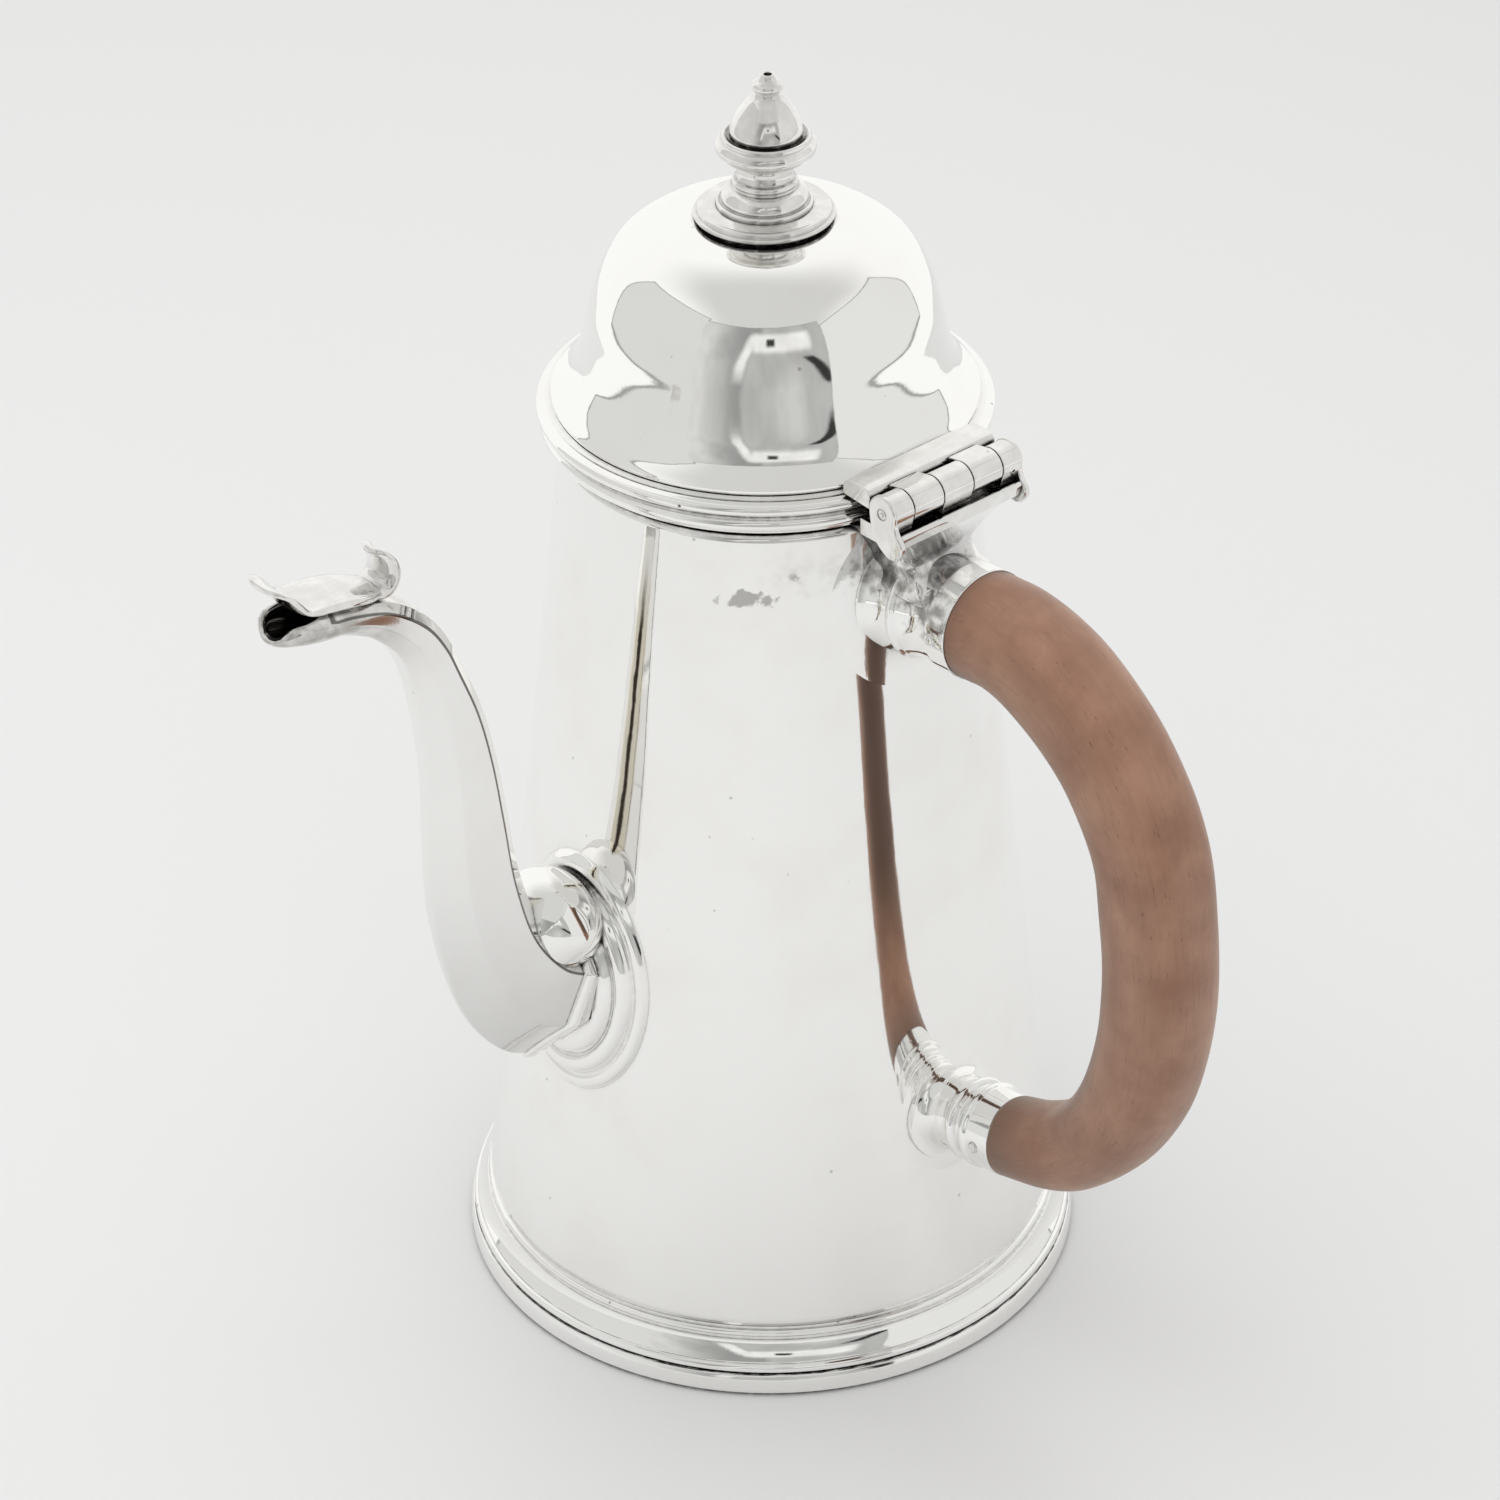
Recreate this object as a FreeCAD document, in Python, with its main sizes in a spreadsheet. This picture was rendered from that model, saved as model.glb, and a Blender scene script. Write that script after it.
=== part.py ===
import FreeCAD, Part
import math
import os
import types

import Sketcher

# A silver coffee pot: a straight tapering body on a moulded foot, a domed lid with a turned
# finial on a five-knuckle hinge, an eight-sided swan-neck spout and a wooden handle in two
# silver sockets, set at a right angle to the spout.
#
# Frame, in millimetres: +Z up, +X towards the spout, +Y towards the handle, and the origin
# on the table at the centre of the foot.

# ---------------------------------------------------------------- driving sizes
SIZES = {
    # foot
    "foot_radius": 57.1,
    "foot_band_height": 4.6,
    "foot_groove": 0.7,
    "foot_height": 13.0,
    "foot_band_wall": 3.4,
    "foot_ledge": 4.0,
    "foot_cove_depth": 0.405,
    # body
    "body_base_radius": 52.0,
    "body_top_radius": 34.8,
    "body_height": 155.5,
    "body_wall": 0.9,
    "base_plate_thickness": 1.0,
    "rim_stand_out": 4.4,
    "rim_height": 5.5,
    "strainer_hole_radius": 1.5,
    "strainer_pitch": 4.6,
    "strainer_rows": 4,
    # lid
    "lid_gap": 0.2,
    "bezel_height": 2.8,
    "bezel_stand_out": 0.8,
    "bezel_ledge": 3.2,
    "collar_clearance": 0.8,
    "collar_depth": 5.0,
    "collar_wall": 1.0,
    "dome_height": 33.6,
    "dome_cove": 5.0,
    "dome_cove_height": 8.0,
    "dome_shoulder_radius": 27.3,
    "dome_shoulder_drop": 10.6,
    "dome_wall": 1.2,
    # finial
    "finial_disc_radius": 12.1,
    "finial_disc_height": 1.9,
    "finial_ring_radius": 9.5,
    "finial_neck_radius": 4.8,
    "finial_foot_radius": 8.2,
    "finial_foot_height": 5.4,
    "finial_neck_height": 3.0,
    "finial_ring_height": 4.6,
    "finial_knop_radius": 6.3,
    "finial_knop_height": 7.5,
    "finial_button_radius": 2.7,
    "finial_button_height": 3.4,
    "finial_peg_radius": 2.0,
    "finial_peg_length": 2.0,
    # hinge
    "barrel_radius": 3.1,
    "barrel_gap": 2.1,
    "hinge_lift": 3.3,
    "hinge_clearance": 0.3,
    "end_knuckle_length": 4.2,
    "mid_knuckle_length": 6.6,
    "knuckle_gap": 0.1,
    "hinge_pin_radius": 1.1,
    "lid_knuckle_clearance": 0.05,
    "body_knuckle_clearance": 0.02,
    "lid_leaf_thickness": 2.8,
    "lid_leaf_width": 6.6,
    "rail_thickness": 3.4,
    "rail_width": 6.8,
    "rail_bite": 0.4,
    "bracket_foot_width": 17.0,
    # spout
    "spout_root_height": 75.0,
    "spout_wall": 1.1,
    "spout_plate_half_width": 16.0,
    "spout_plate_half_height": 24.5,
    "spout_plate_thickness": 1.4,
    "spout_boss_radius": 7.4,
    "spout_scroll_radius": 3.2,
    "spout_scroll_length": 6.0,
    # sockets
    "upper_socket_drop": 15.0,
    "upper_socket_length": 18.6,
    "upper_socket_radius": 9.8,
    "upper_socket_tilt": 2.7,
    "upper_plate_half_width": 15.6,
    "upper_plate_half_height": 16.6,
    "lower_socket_height": 50.2,
    "lower_socket_length": 17.8,
    "lower_socket_radius": 7.5,
    "lower_socket_tilt": 8.7,
    "lower_plate_half_width": 11.4,
    "lower_plate_half_height": 13.3,
    "socket_plate_thickness": 1.2,
    "socket_wall": 0.8,
    "tenon_clearance": 0.05,
    "tenon_length": 12.0,
    "socket_pin_radius": 1.1,
    "socket_pin_inset": 3.4,
    # handle
    "handle_upper_radius": 9.6,
    "handle_grip_radius": 9.4,
    "handle_lower_radius": 7.3,
    "handle_reach": 43.4,
}

# The spout's line, station by station: out from the wall at the root, up from the root, the
# slope of the line in degrees, then the section's depth, width and corner cut.
SPOUT_LINE = {
    "root": (6.5, 0.0, 21.0, 25.0, 18.0, 5.6),
    "heel": (12.3, 3.0, 23.0, 25.4, 16.2, 5.6),
    "elbow": (17.2, 9.2, 43.0, 22.6, 14.2, 5.0),
    "rise": (21.0, 17.5, 60.0, 19.4, 12.8, 3.9),
    "waist": (23.8, 30.0, 77.5, 17.6, 11.6, 3.3),
    "neck": (24.8, 43.0, 84.0, 16.0, 10.7, 3.0),
    "upper": (25.6, 55.4, 82.0, 13.9, 10.0, 2.7),
    "throat": (27.2, 66.0, 78.0, 11.8, 9.6, 2.3),
    "crook": (29.7, 75.4, 69.0, 9.6, 9.2, 2.0),
    "bend": (31.8, 81.4, 60.0, 8.6, 9.0, 1.8),
    "crown": (35.2, 86.8, 45.0, 7.9, 9.2, 1.7),
    "beak": (41.2, 92.0, 27.0, 7.2, 9.8, 1.7),
    "bill": (51.0, 96.6, 14.0, 6.2, 10.8, 1.8),
    "lip": (62.4, 98.7, 12.0, 5.2, 7.2, 1.6),
}

# How far the ovals that shape the wall plates reach into and out of the wall.
PLATE_OVAL_DEPTH = 8.0

doc = FreeCAD.newDocument("coffee_pot")
sheet = doc.addObject("Spreadsheet::Sheet", "Sizes")


class Size:
    """A length together with the sheet expression that gives it."""

    def __init__(self, value, text):
        self.value = float(value)
        self.text = text

    def join(self, sign, other, value):
        text = other.text if isinstance(other, Size) else repr(float(other))
        return Size(value, f"({self.text} {sign} {text})")

    def __add__(self, other):
        return self.join("+", other, self.value + number(other))

    def __sub__(self, other):
        return self.join("-", other, self.value - number(other))

    def __mul__(self, other):
        return self.join("*", other, self.value * number(other))

    def __truediv__(self, other):
        return self.join("/", other, self.value / number(other))

    def __neg__(self):
        return self * -1

    __radd__ = __add__
    __rmul__ = __mul__


def number(size):
    return size.value if isinstance(size, Size) else float(size)


def fill_sheet():
    """One row of the sheet for each size: its name, and its value with the name as alias."""
    rows = dict(SIZES)
    for station, values in SPOUT_LINE.items():
        for word, value in zip(("out", "up", "slope", "depth", "width", "corner"), values):
            rows[f"spout_{station}_{word}"] = value
    for row, (name, value) in enumerate(rows.items(), start=1):
        sheet.set(f"A{row}", name)
        sheet.set(f"B{row}", str(value))
        sheet.setAlias(f"B{row}", name)
    doc.recompute()
    return types.SimpleNamespace(**{n: Size(v, f"Sizes.{n}") for n, v in rows.items()})


dim = fill_sheet()
SUBPARTS = {}


def bind(obj, prop, size):
    """Set a property from a size and tie it to the sheet."""
    if isinstance(size, Size):
        obj.setExpression(prop, size.text)
    else:
        setattr(obj, prop, size)


def keep(label, obj):
    """Name an object as one of the pot's sub-parts."""
    obj.Label = label
    SUBPARTS[label] = obj
    return obj


def vector(x=0.0, y=0.0, z=0.0):
    return FreeCAD.Vector(number(x), number(y), number(z))


def placed(x=0.0, y=0.0, z=0.0, axis=(0, 0, 1), degrees=0.0):
    return FreeCAD.Placement(vector(x, y, z), FreeCAD.Rotation(FreeCAD.Vector(*axis), number(degrees)))


# ---------------------------------------------------------------- sketches and features
def tie_vertex(sketch, edge, end, point):
    """Hold one end of an edge at a point measured from the sketch's own origin."""
    for kind, size in zip(("DistanceX", "DistanceY"), point):
        index = sketch.addConstraint(Sketcher.Constraint(kind, -1, 1, edge, end, number(size)))
        if isinstance(size, Size):
            sketch.setExpression(f"Constraints[{index}]", size.text)


def add_edge(sketch, start, end, radius):
    """A straight edge, or an arc of the given radius: positive bulges to the right of the way."""
    a = vector(start[0], start[1])
    b = vector(end[0], end[1])
    if radius is None:
        return sketch.addGeometry(Part.LineSegment(a, b)), False
    size = abs(number(radius))
    half = (b - a).Length / 2
    rise = size - math.sqrt(max(size * size - half * half, 0.0))
    side = FreeCAD.Vector((b - a).y, -(b - a).x, 0).normalize() * math.copysign(rise, number(radius))
    middle = (a + b) / 2 + side
    backwards = number(radius) < 0
    curve = Part.Arc(b, middle, a) if backwards else Part.Arc(a, middle, b)
    arc = sketch.addGeometry(curve)
    index = sketch.addConstraint(Sketcher.Constraint("Radius", arc, size))
    if isinstance(radius, Size):
        sketch.setExpression(f"Constraints[{index}]", radius.text)
    return arc, backwards


def draw_outline(sketch, points):
    """Draw a closed outline. A point is (x, y) or (x, y, radius of the arc to the next)."""
    edges = []
    for i, point in enumerate(points):
        radius = point[2] if len(point) > 2 else None
        edges.append(add_edge(sketch, point, points[(i + 1) % len(points)], radius))
    for i, (edge, reverse) in enumerate(edges):
        following, reverse_next = edges[(i + 1) % len(edges)]
        link = (edge, 1 if reverse else 2, following, 2 if reverse_next else 1)
        sketch.addConstraint(Sketcher.Constraint("Coincident", *link))
    for (edge, reverse), point in zip(edges, points):
        tie_vertex(sketch, edge, 2 if reverse else 1, point[:2])


def draw_circle(sketch, centre, radius):
    circle = Part.Circle(vector(*centre), FreeCAD.Vector(0, 0, 1), number(radius))
    edge = sketch.addGeometry(circle)
    tie_vertex(sketch, edge, 3, centre)
    index = sketch.addConstraint(Sketcher.Constraint("Radius", edge, number(radius)))
    if isinstance(radius, Size):
        sketch.setExpression(f"Constraints[{index}]", radius.text)


def body_sketch(body, name, plane):
    """A sketch attached flat to one of the body's own origin planes."""
    sketch = body.newObject("Sketcher::SketchObject", name)
    base = [f for f in body.Origin.OriginFeatures if f.Role == plane][0]
    sketch.AttachmentSupport = [(base, "")]
    sketch.MapMode = "FlatFace"
    return sketch


def turn(label, outline, placement=None):
    """A body turned about its own Z axis from an outline of (radius, height) points."""
    body = doc.addObject("PartDesign::Body", label + "_body")
    sketch = body_sketch(body, label + "_profile", "XZ_Plane")
    draw_outline(sketch, outline)
    feature = body.newObject("PartDesign::Revolution", label + "_turn")
    feature.Profile = sketch
    feature.ReferenceAxis = (sketch, ["V_Axis"])
    feature.Angle = 360.0
    if placement:
        body.Placement = placement
    return body


def slab(label, plane, outline, length, placement=None):
    """A body padded evenly to both sides of one of its planes."""
    body = doc.addObject("PartDesign::Body", label + "_body")
    sketch = body_sketch(body, label + "_outline", plane)
    draw_outline(sketch, outline)
    pad = body.newObject("PartDesign::Pad", label + "_pad")
    pad.Profile = sketch
    pad.Midplane = True
    bind(pad, "Length", length)
    if placement:
        body.Placement = placement
    return body


def cut(label, base, tool):
    doc.recompute()
    result = doc.addObject("Part::Cut", label + "_cut")
    result.Base = base
    result.Tool = tool
    doc.recompute()
    if result.Shape.Volume >= base.Shape.Volume - 1e-3:
        raise RuntimeError(f"{label}: the cut takes nothing away")
    return result


def common(label, first, second):
    result = doc.addObject("Part::Common", label + "_common")
    result.Base = first
    result.Tool = second
    return result


def fuse(label, shapes):
    result = doc.addObject("Part::MultiFuse", label + "_fuse")
    result.Shapes = shapes
    result.Refine = True
    return result


def cylinder(label, radius, length, placement):
    rod = doc.addObject("Part::Cylinder", label)
    bind(rod, "Radius", radius)
    bind(rod, "Height", length)
    rod.Placement = placement
    return rod


def cross_rod(label, radius, length, y, z, start):
    """A cylinder along +X that starts at x = start."""
    return cylinder(label, radius, length, placed(start, y, z, (0, 1, 0), 90))


def block(label, low, high):
    box = doc.addObject("Part::Box", label)
    for prop, a, b in zip(("Length", "Width", "Height"), low, high):
        bind(box, prop, b - a)
    box.Placement = placed(*low)
    return box


# ---------------------------------------------------------------- levels that pieces share
body_bottom = dim.foot_height
body_top = body_bottom + dim.body_height
split = body_top + dim.rim_height
lid_bottom = split + dim.lid_gap
bezel_top = lid_bottom + dim.bezel_height
rim_radius = dim.body_top_radius + dim.rim_stand_out
bezel_radius = rim_radius + dim.bezel_stand_out
mouth_radius = dim.body_top_radius - dim.body_wall
hinge_y = bezel_radius + dim.barrel_radius + dim.barrel_gap
hinge_z = split + dim.hinge_lift
taper = (dim.body_base_radius - dim.body_top_radius) / dim.body_height
dome_foot_radius = bezel_radius - dim.bezel_ledge
dome_top = bezel_top + dim.dome_height


def wall_radius(height):
    """The body's outer radius at a height."""
    return dim.body_base_radius - taper * (height - body_bottom)


def wall_cone(label, stand_out, low, high):
    """The body's outer cone between two heights, grown outwards by stand_out."""
    cone = doc.addObject("Part::Cone", label)
    bind(cone, "Radius1", wall_radius(low) + stand_out)
    bind(cone, "Radius2", wall_radius(high) + stand_out)
    bind(cone, "Height", high - low)
    cone.Placement = placed(z=low)
    return cone


# ---------------------------------------------------------------- foot and body
def make_foot():
    radius = dim.foot_radius
    band = dim.foot_band_height
    inner = radius - dim.foot_band_wall
    groove = radius - dim.foot_groove
    keep("foot_band", turn("foot_band", [
        (inner, 0.0),
        (radius - 0.5, 0.0, 0.5),
        (radius, 0.5),
        (radius, band - 0.7, 0.7),
        (groove, band),
        (inner, band),
    ]))
    ledge = dim.body_base_radius - dim.foot_ledge
    top = dim.foot_height
    cove_out = groove - 1.6
    cove_low = band + 4.0
    cove_in = dim.body_base_radius + 0.9
    cove_high = top - 1.8
    half_run = math.hypot(number(cove_out - cove_in), number(cove_high - cove_low)) / 2
    hollow = number(dim.foot_cove_depth)
    cove_radius = (half_run ** 2 + hollow ** 2) / (2 * hollow)
    keep("foot_moulding", turn("foot_moulding", [
        (inner, band),
        (groove, band),
        (groove, band + 0.6, 2.6),
        (cove_out, cove_low - 0.6),
        (cove_out, cove_low, -cove_radius),
        (cove_in, cove_high),
        (cove_in, top - 0.9, 0.9),
        (dim.body_base_radius, top),
        (ledge, top),
        (ledge, top - 1.5),
        (inner, band + 2.0),
    ]))


def make_body():
    wall = dim.body_wall
    shell = turn("body", [
        (dim.body_base_radius - wall, body_bottom),
        (dim.body_base_radius, body_bottom),
        (dim.body_top_radius, body_top),
        (mouth_radius, body_top),
    ])
    holes = body_sketch(shell, "strainer_holes", "YZ_Plane")
    rows = int(SIZES["strainer_rows"])
    pitch = dim.strainer_pitch
    for row in range(rows):
        count = 2 + row % 2
        height = dim.spout_root_height + 1.0 + pitch * (row - (rows - 1) / 2) * 0.9
        for place in range(count):
            draw_circle(holes, (pitch * (place - (count - 1) / 2), height), dim.strainer_hole_radius)
    doc.recompute()
    solid_volume = shell.Shape.Volume
    pocket = shell.newObject("PartDesign::Pocket", "strainer")
    pocket.Profile = holes
    pocket.Reversed = True
    bind(pocket, "Length", dim.foot_radius)
    doc.recompute()
    if shell.Shape.Volume >= solid_volume - 1.0:
        raise RuntimeError("the strainer holes cut nothing")
    keep("body", shell)
    plate_top = body_bottom + dim.base_plate_thickness
    keep("base_plate", turn("base_plate", [
        (0.0, body_bottom),
        (dim.body_base_radius - wall, body_bottom),
        (wall_radius(plate_top) - wall, plate_top),
        (0.0, plate_top),
    ]))
    keep("body_rim", turn("body_rim", [
        (mouth_radius, body_top),
        (dim.body_top_radius, body_top),
        (rim_radius - 1.8, body_top + 1.6),
        (rim_radius - 1.3, body_top + 2.0, 1.9),
        (rim_radius - 1.0, split),
        (mouth_radius, split),
    ]))


# ---------------------------------------------------------------- lid
def make_lid():
    collar_outer = mouth_radius - dim.collar_clearance
    collar_inner = collar_outer - dim.collar_wall
    keep("lid_collar", turn("lid_collar", [
        (collar_inner, split - dim.collar_depth),
        (collar_outer, split - dim.collar_depth),
        (collar_outer, bezel_top),
        (collar_inner, bezel_top),
    ]))
    keep("lid_bezel", turn("lid_bezel", [
        (collar_outer, lid_bottom),
        (bezel_radius - 0.6, lid_bottom, 2.0),
        (bezel_radius - 1.5, bezel_top),
        (collar_outer, bezel_top),
    ]))
    wall = dim.dome_wall
    foot = dome_foot_radius
    waist = foot - dim.dome_cove
    waist_z = bezel_top + dim.dome_cove_height
    shoulder = dim.dome_shoulder_radius
    shoulder_z = dome_top - dim.dome_shoulder_drop
    seat = dim.finial_disc_radius
    crown = dome_top - 0.7 - wall
    keep("lid_dome", turn("lid_dome", [
        (collar_inner, bezel_top),
        (foot, bezel_top),
        (foot, bezel_top + 1.4, -9.5),
        (waist, waist_z, 60.0),
        (shoulder, shoulder_z, 15.5),
        (seat, dome_top - 0.7),
        (seat, dome_top - 0.2),
        (dim.finial_peg_radius, dome_top - 0.2),
        (dim.finial_peg_radius, crown),
        (seat - 0.6, crown, -14.4),
        (shoulder - wall, shoulder_z - 0.5, -60.0),
        (waist - wall, waist_z, 12.0),
        (collar_inner, bezel_top + 2.2),
    ]))


def make_finial():
    seat = dome_top - 0.2
    disc = dim.finial_disc_radius
    disc_top = seat + dim.finial_disc_height
    keep("finial_disc", turn("finial_disc", [
        (dim.finial_peg_radius, seat),
        (disc, seat),
        (disc, seat + 0.7),
        (disc - 0.5, disc_top - 0.7),
        (disc - 0.5, disc_top - 0.3, -6.0),
        (dim.finial_foot_radius, disc_top),
        (dim.finial_peg_radius, disc_top),
    ]))
    foot = dim.finial_foot_radius
    neck = dim.finial_neck_radius
    ring = dim.finial_ring_radius
    foot_top = disc_top + dim.finial_foot_height
    ring_low = foot_top + dim.finial_neck_height
    ring_top = ring_low + dim.finial_ring_height
    peg = dim.finial_peg_radius
    peg_bottom = seat - dim.dome_wall - dim.finial_peg_length
    keep("finial_stem", turn("finial_stem", [
        (0.0, peg_bottom),
        (peg, peg_bottom),
        (peg, disc_top),
        (foot, disc_top),
        (foot, disc_top + 0.9),
        (foot - 1.1, disc_top + 1.2, 2.4),
        (foot - 2.3, disc_top + 4.0),
        (neck, disc_top + 4.2),
        (neck + 0.6, foot_top - 0.6, 0.75),
        (neck, foot_top + 0.2),
        (neck, ring_low),
        (0.0, ring_low),
    ]))
    keep("finial_ring", turn("finial_ring", [
        (0.0, ring_low),
        (neck, ring_low),
        (ring - 1.6, ring_low + 0.6, 2.1),
        (ring - 1.4, ring_top - 0.5),
        (ring - 2.1, ring_top - 0.4),
        (ring - 2.4, ring_top),
        (0.0, ring_top),
    ]))
    knop = dim.finial_knop_radius
    knop_top = ring_top + dim.finial_knop_height
    keep("finial_knop", turn("finial_knop", [
        (0.0, ring_top),
        (knop, ring_top, 9.5),
        (knop - 2.5, knop_top - 2.0, 5.0),
        (1.9, knop_top),
        (0.0, knop_top),
    ]))
    button = dim.finial_button_radius
    button_top = knop_top + dim.finial_button_height
    keep("finial_button", turn("finial_button", [
        (0.0, knop_top),
        (1.7, knop_top),
        (1.8, knop_top + 0.9),
        (button, knop_top + 1.5, 1.2),
        (button - 0.6, button_top - 0.9),
        (0.9, button_top),
        (0.8, button_top - 1.0),
        (0.0, button_top - 1.0),
    ]))


# ---------------------------------------------------------------- hinge
def knuckle_starts():
    """The x of each knuckle's low end, from one end of the barrel to the other."""
    lengths = [dim.end_knuckle_length] + [dim.mid_knuckle_length] * 3 + [dim.end_knuckle_length]
    total = sum(number(length) for length in lengths) + 4 * number(dim.knuckle_gap)
    starts = []
    x = -total / 2
    for length in lengths:
        starts.append(x)
        x += number(length) + number(dim.knuckle_gap)
    return starts, lengths, total


def make_hinge():
    starts, lengths, total = knuckle_starts()
    barrel = dim.barrel_radius
    reach = barrel + dim.hinge_clearance
    rail_top = hinge_z - reach
    rail_low = rail_top - dim.rail_thickness
    leaf_edge = hinge_y - reach
    names = ("body_knuckle_right", "lid_knuckle_right", "body_knuckle_middle",
             "lid_knuckle_left", "body_knuckle_left")
    for name, start, length in zip(names, starts, lengths):
        tube = cross_rod(name + "_tube", barrel, length, hinge_y, hinge_z, start)
        if name.startswith("lid"):
            clearance = dim.lid_knuckle_clearance
            web = block(name + "_web", (Size(start, repr(start)), leaf_edge, bezel_top),
                        (Size(start, repr(start)) + length, hinge_y, hinge_z + dim.barrel_radius * 0.9))
        else:
            clearance = dim.body_knuckle_clearance
            web = block(name + "_web", (Size(start, repr(start)), hinge_y - barrel * 0.8, rail_top),
                        (Size(start, repr(start)) + length, hinge_y + barrel * 0.8, hinge_z))
        bore = cross_rod(name + "_bore", dim.hinge_pin_radius + clearance, length + 2.0,
                         hinge_y, hinge_z, start - 1.0)
        keep(name, cut(name, fuse(name, [tube, web]), bore))
    keep("hinge_pin", cross_rod("hinge_pin_rod", dim.hinge_pin_radius, Size(total, repr(total)),
                                hinge_y, hinge_z, -total / 2))
    lid_leaf(leaf_edge, total)
    body_leaf(rail_top, rail_low, total)


def lid_leaf(edge, total):
    """The lid's hinge bar, which lies on the bezel against the foot of the dome."""
    low = bezel_top
    top = low + dim.lid_leaf_thickness
    back = edge - dim.lid_leaf_width
    bar = slab("lid_leaf", "YZ_Plane", [
        (back, low), (edge, low), (edge, top), (back + 0.8, top), (back, top - 0.8),
    ], total)
    dome = turn("lid_leaf_dome", [
        (0.0, low - 1.0), (dome_foot_radius, low - 1.0), (dome_foot_radius, low + 1.4, -9.5),
        (dome_foot_radius - dim.dome_cove, bezel_top + dim.dome_cove_height), (0.0, bezel_top + dim.dome_cove_height),
    ])
    keep("lid_leaf", cut("lid_leaf", bar, dome))


def body_leaf(rail_top, rail_low, total):
    """The fixed leaf: a rail under the barrel and the bracket that carries it from the wall."""
    near = rim_radius - dim.rail_bite
    far = hinge_y + dim.rail_width / 2
    rail = slab("hinge_rail", "YZ_Plane", [
        (near, rail_low), (far, rail_low), (far, rail_top - 0.5), (far - 0.5, rail_top), (near, rail_top),
    ], total)
    ring = turn("hinge_rail_ring", [
        (0.0, body_top - 2.0), (rim_radius, body_top - 2.0), (rim_radius, hinge_z), (0.0, hinge_z),
    ])
    keep("hinge_rail", cut("hinge_rail", rail, ring))
    bottom = body_top - dim.upper_socket_drop + dim.upper_socket_radius
    toe = wall_radius(upper_height()) + dim.upper_socket_length - 1.2
    web = slab("hinge_bracket", "YZ_Plane", [
        (dim.body_top_radius - 4.0, bottom - 6.0),
        (toe, bottom - 6.0),
        (toe, bottom + 1.2, -9.0),
        (far - 0.8, rail_low),
        (dim.body_top_radius - 4.0, rail_low),
    ], total)
    half_foot = dim.bracket_foot_width / 2
    wide = Size(total / 2, repr(total / 2))
    shape = slab("hinge_bracket_front", "XZ_Plane", [
        (-half_foot, bottom - 6.0), (half_foot, bottom - 6.0), (half_foot, bottom + 1.0, -16.0),
        (wide, rail_low), (-wide, rail_low, -16.0), (-half_foot, bottom + 1.0),
    ], 200.0)
    trimmed = common("hinge_bracket", web, shape)
    wall = wall_cone("hinge_bracket_wall", 0.0, bottom - 20.0, body_top)
    off_wall = cut("hinge_bracket_wall", trimmed, wall)
    rim = turn("hinge_bracket_rim", [
        (0.0, body_top), (rim_radius, body_top), (rim_radius, hinge_z), (0.0, hinge_z),
    ])
    off_rim = cut("hinge_bracket_rim", off_wall, rim)
    way = cylinder("hinge_bracket_socket", dim.upper_socket_radius + 0.9, 60.0, upper_place())
    off_socket = cut("hinge_bracket_way", off_rim, way)
    for other in ("upper_socket_plate", "upper_socket"):
        off_socket = cut(f"hinge_bracket_{other}", off_socket, SUBPARTS[other])
    keep("hinge_bracket", biggest(off_socket, "hinge_bracket"))


# ---------------------------------------------------------------- sockets and plates
def upper_height():
    return body_top - dim.upper_socket_drop


def socket_place(height, tilt):
    """Where a socket's axis leaves the wall, with its own Z along the axis."""
    return placed(0.0, wall_radius(height), height, (1, 0, 0), number(tilt) - 90.0)


def upper_place():
    return socket_place(upper_height(), dim.upper_socket_tilt)


def lower_place():
    return socket_place(dim.lower_socket_height, dim.lower_socket_tilt)


def wall_plate(label, turn_degrees, height, half_width, half_height, thickness):
    """A domed oval plate that lies on the body's wall, below the rim."""
    depth = PLATE_OVAL_DEPTH
    oval = doc.addObject("Part::Ellipsoid", label + "_oval")
    bind(oval, "Radius1", half_height)
    bind(oval, "Radius2", Size(depth, repr(depth)))
    bind(oval, "Radius3", half_width)
    oval.Angle1 = -90
    oval.Angle2 = 90
    out = number(wall_radius(height))
    angle = math.radians(turn_degrees)
    oval.Placement = placed(out * math.cos(angle), out * math.sin(angle), height, (0, 0, 1), turn_degrees)
    low = height - half_height - 3.0
    high = height + half_height + 3.0
    if number(high) > number(body_top):
        high = body_top
    skin = common(label, oval, wall_cone(label + "_skin", thickness, low, high))
    return cut(label, skin, wall_cone(label + "_wall", 0.0, low, high))


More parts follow.
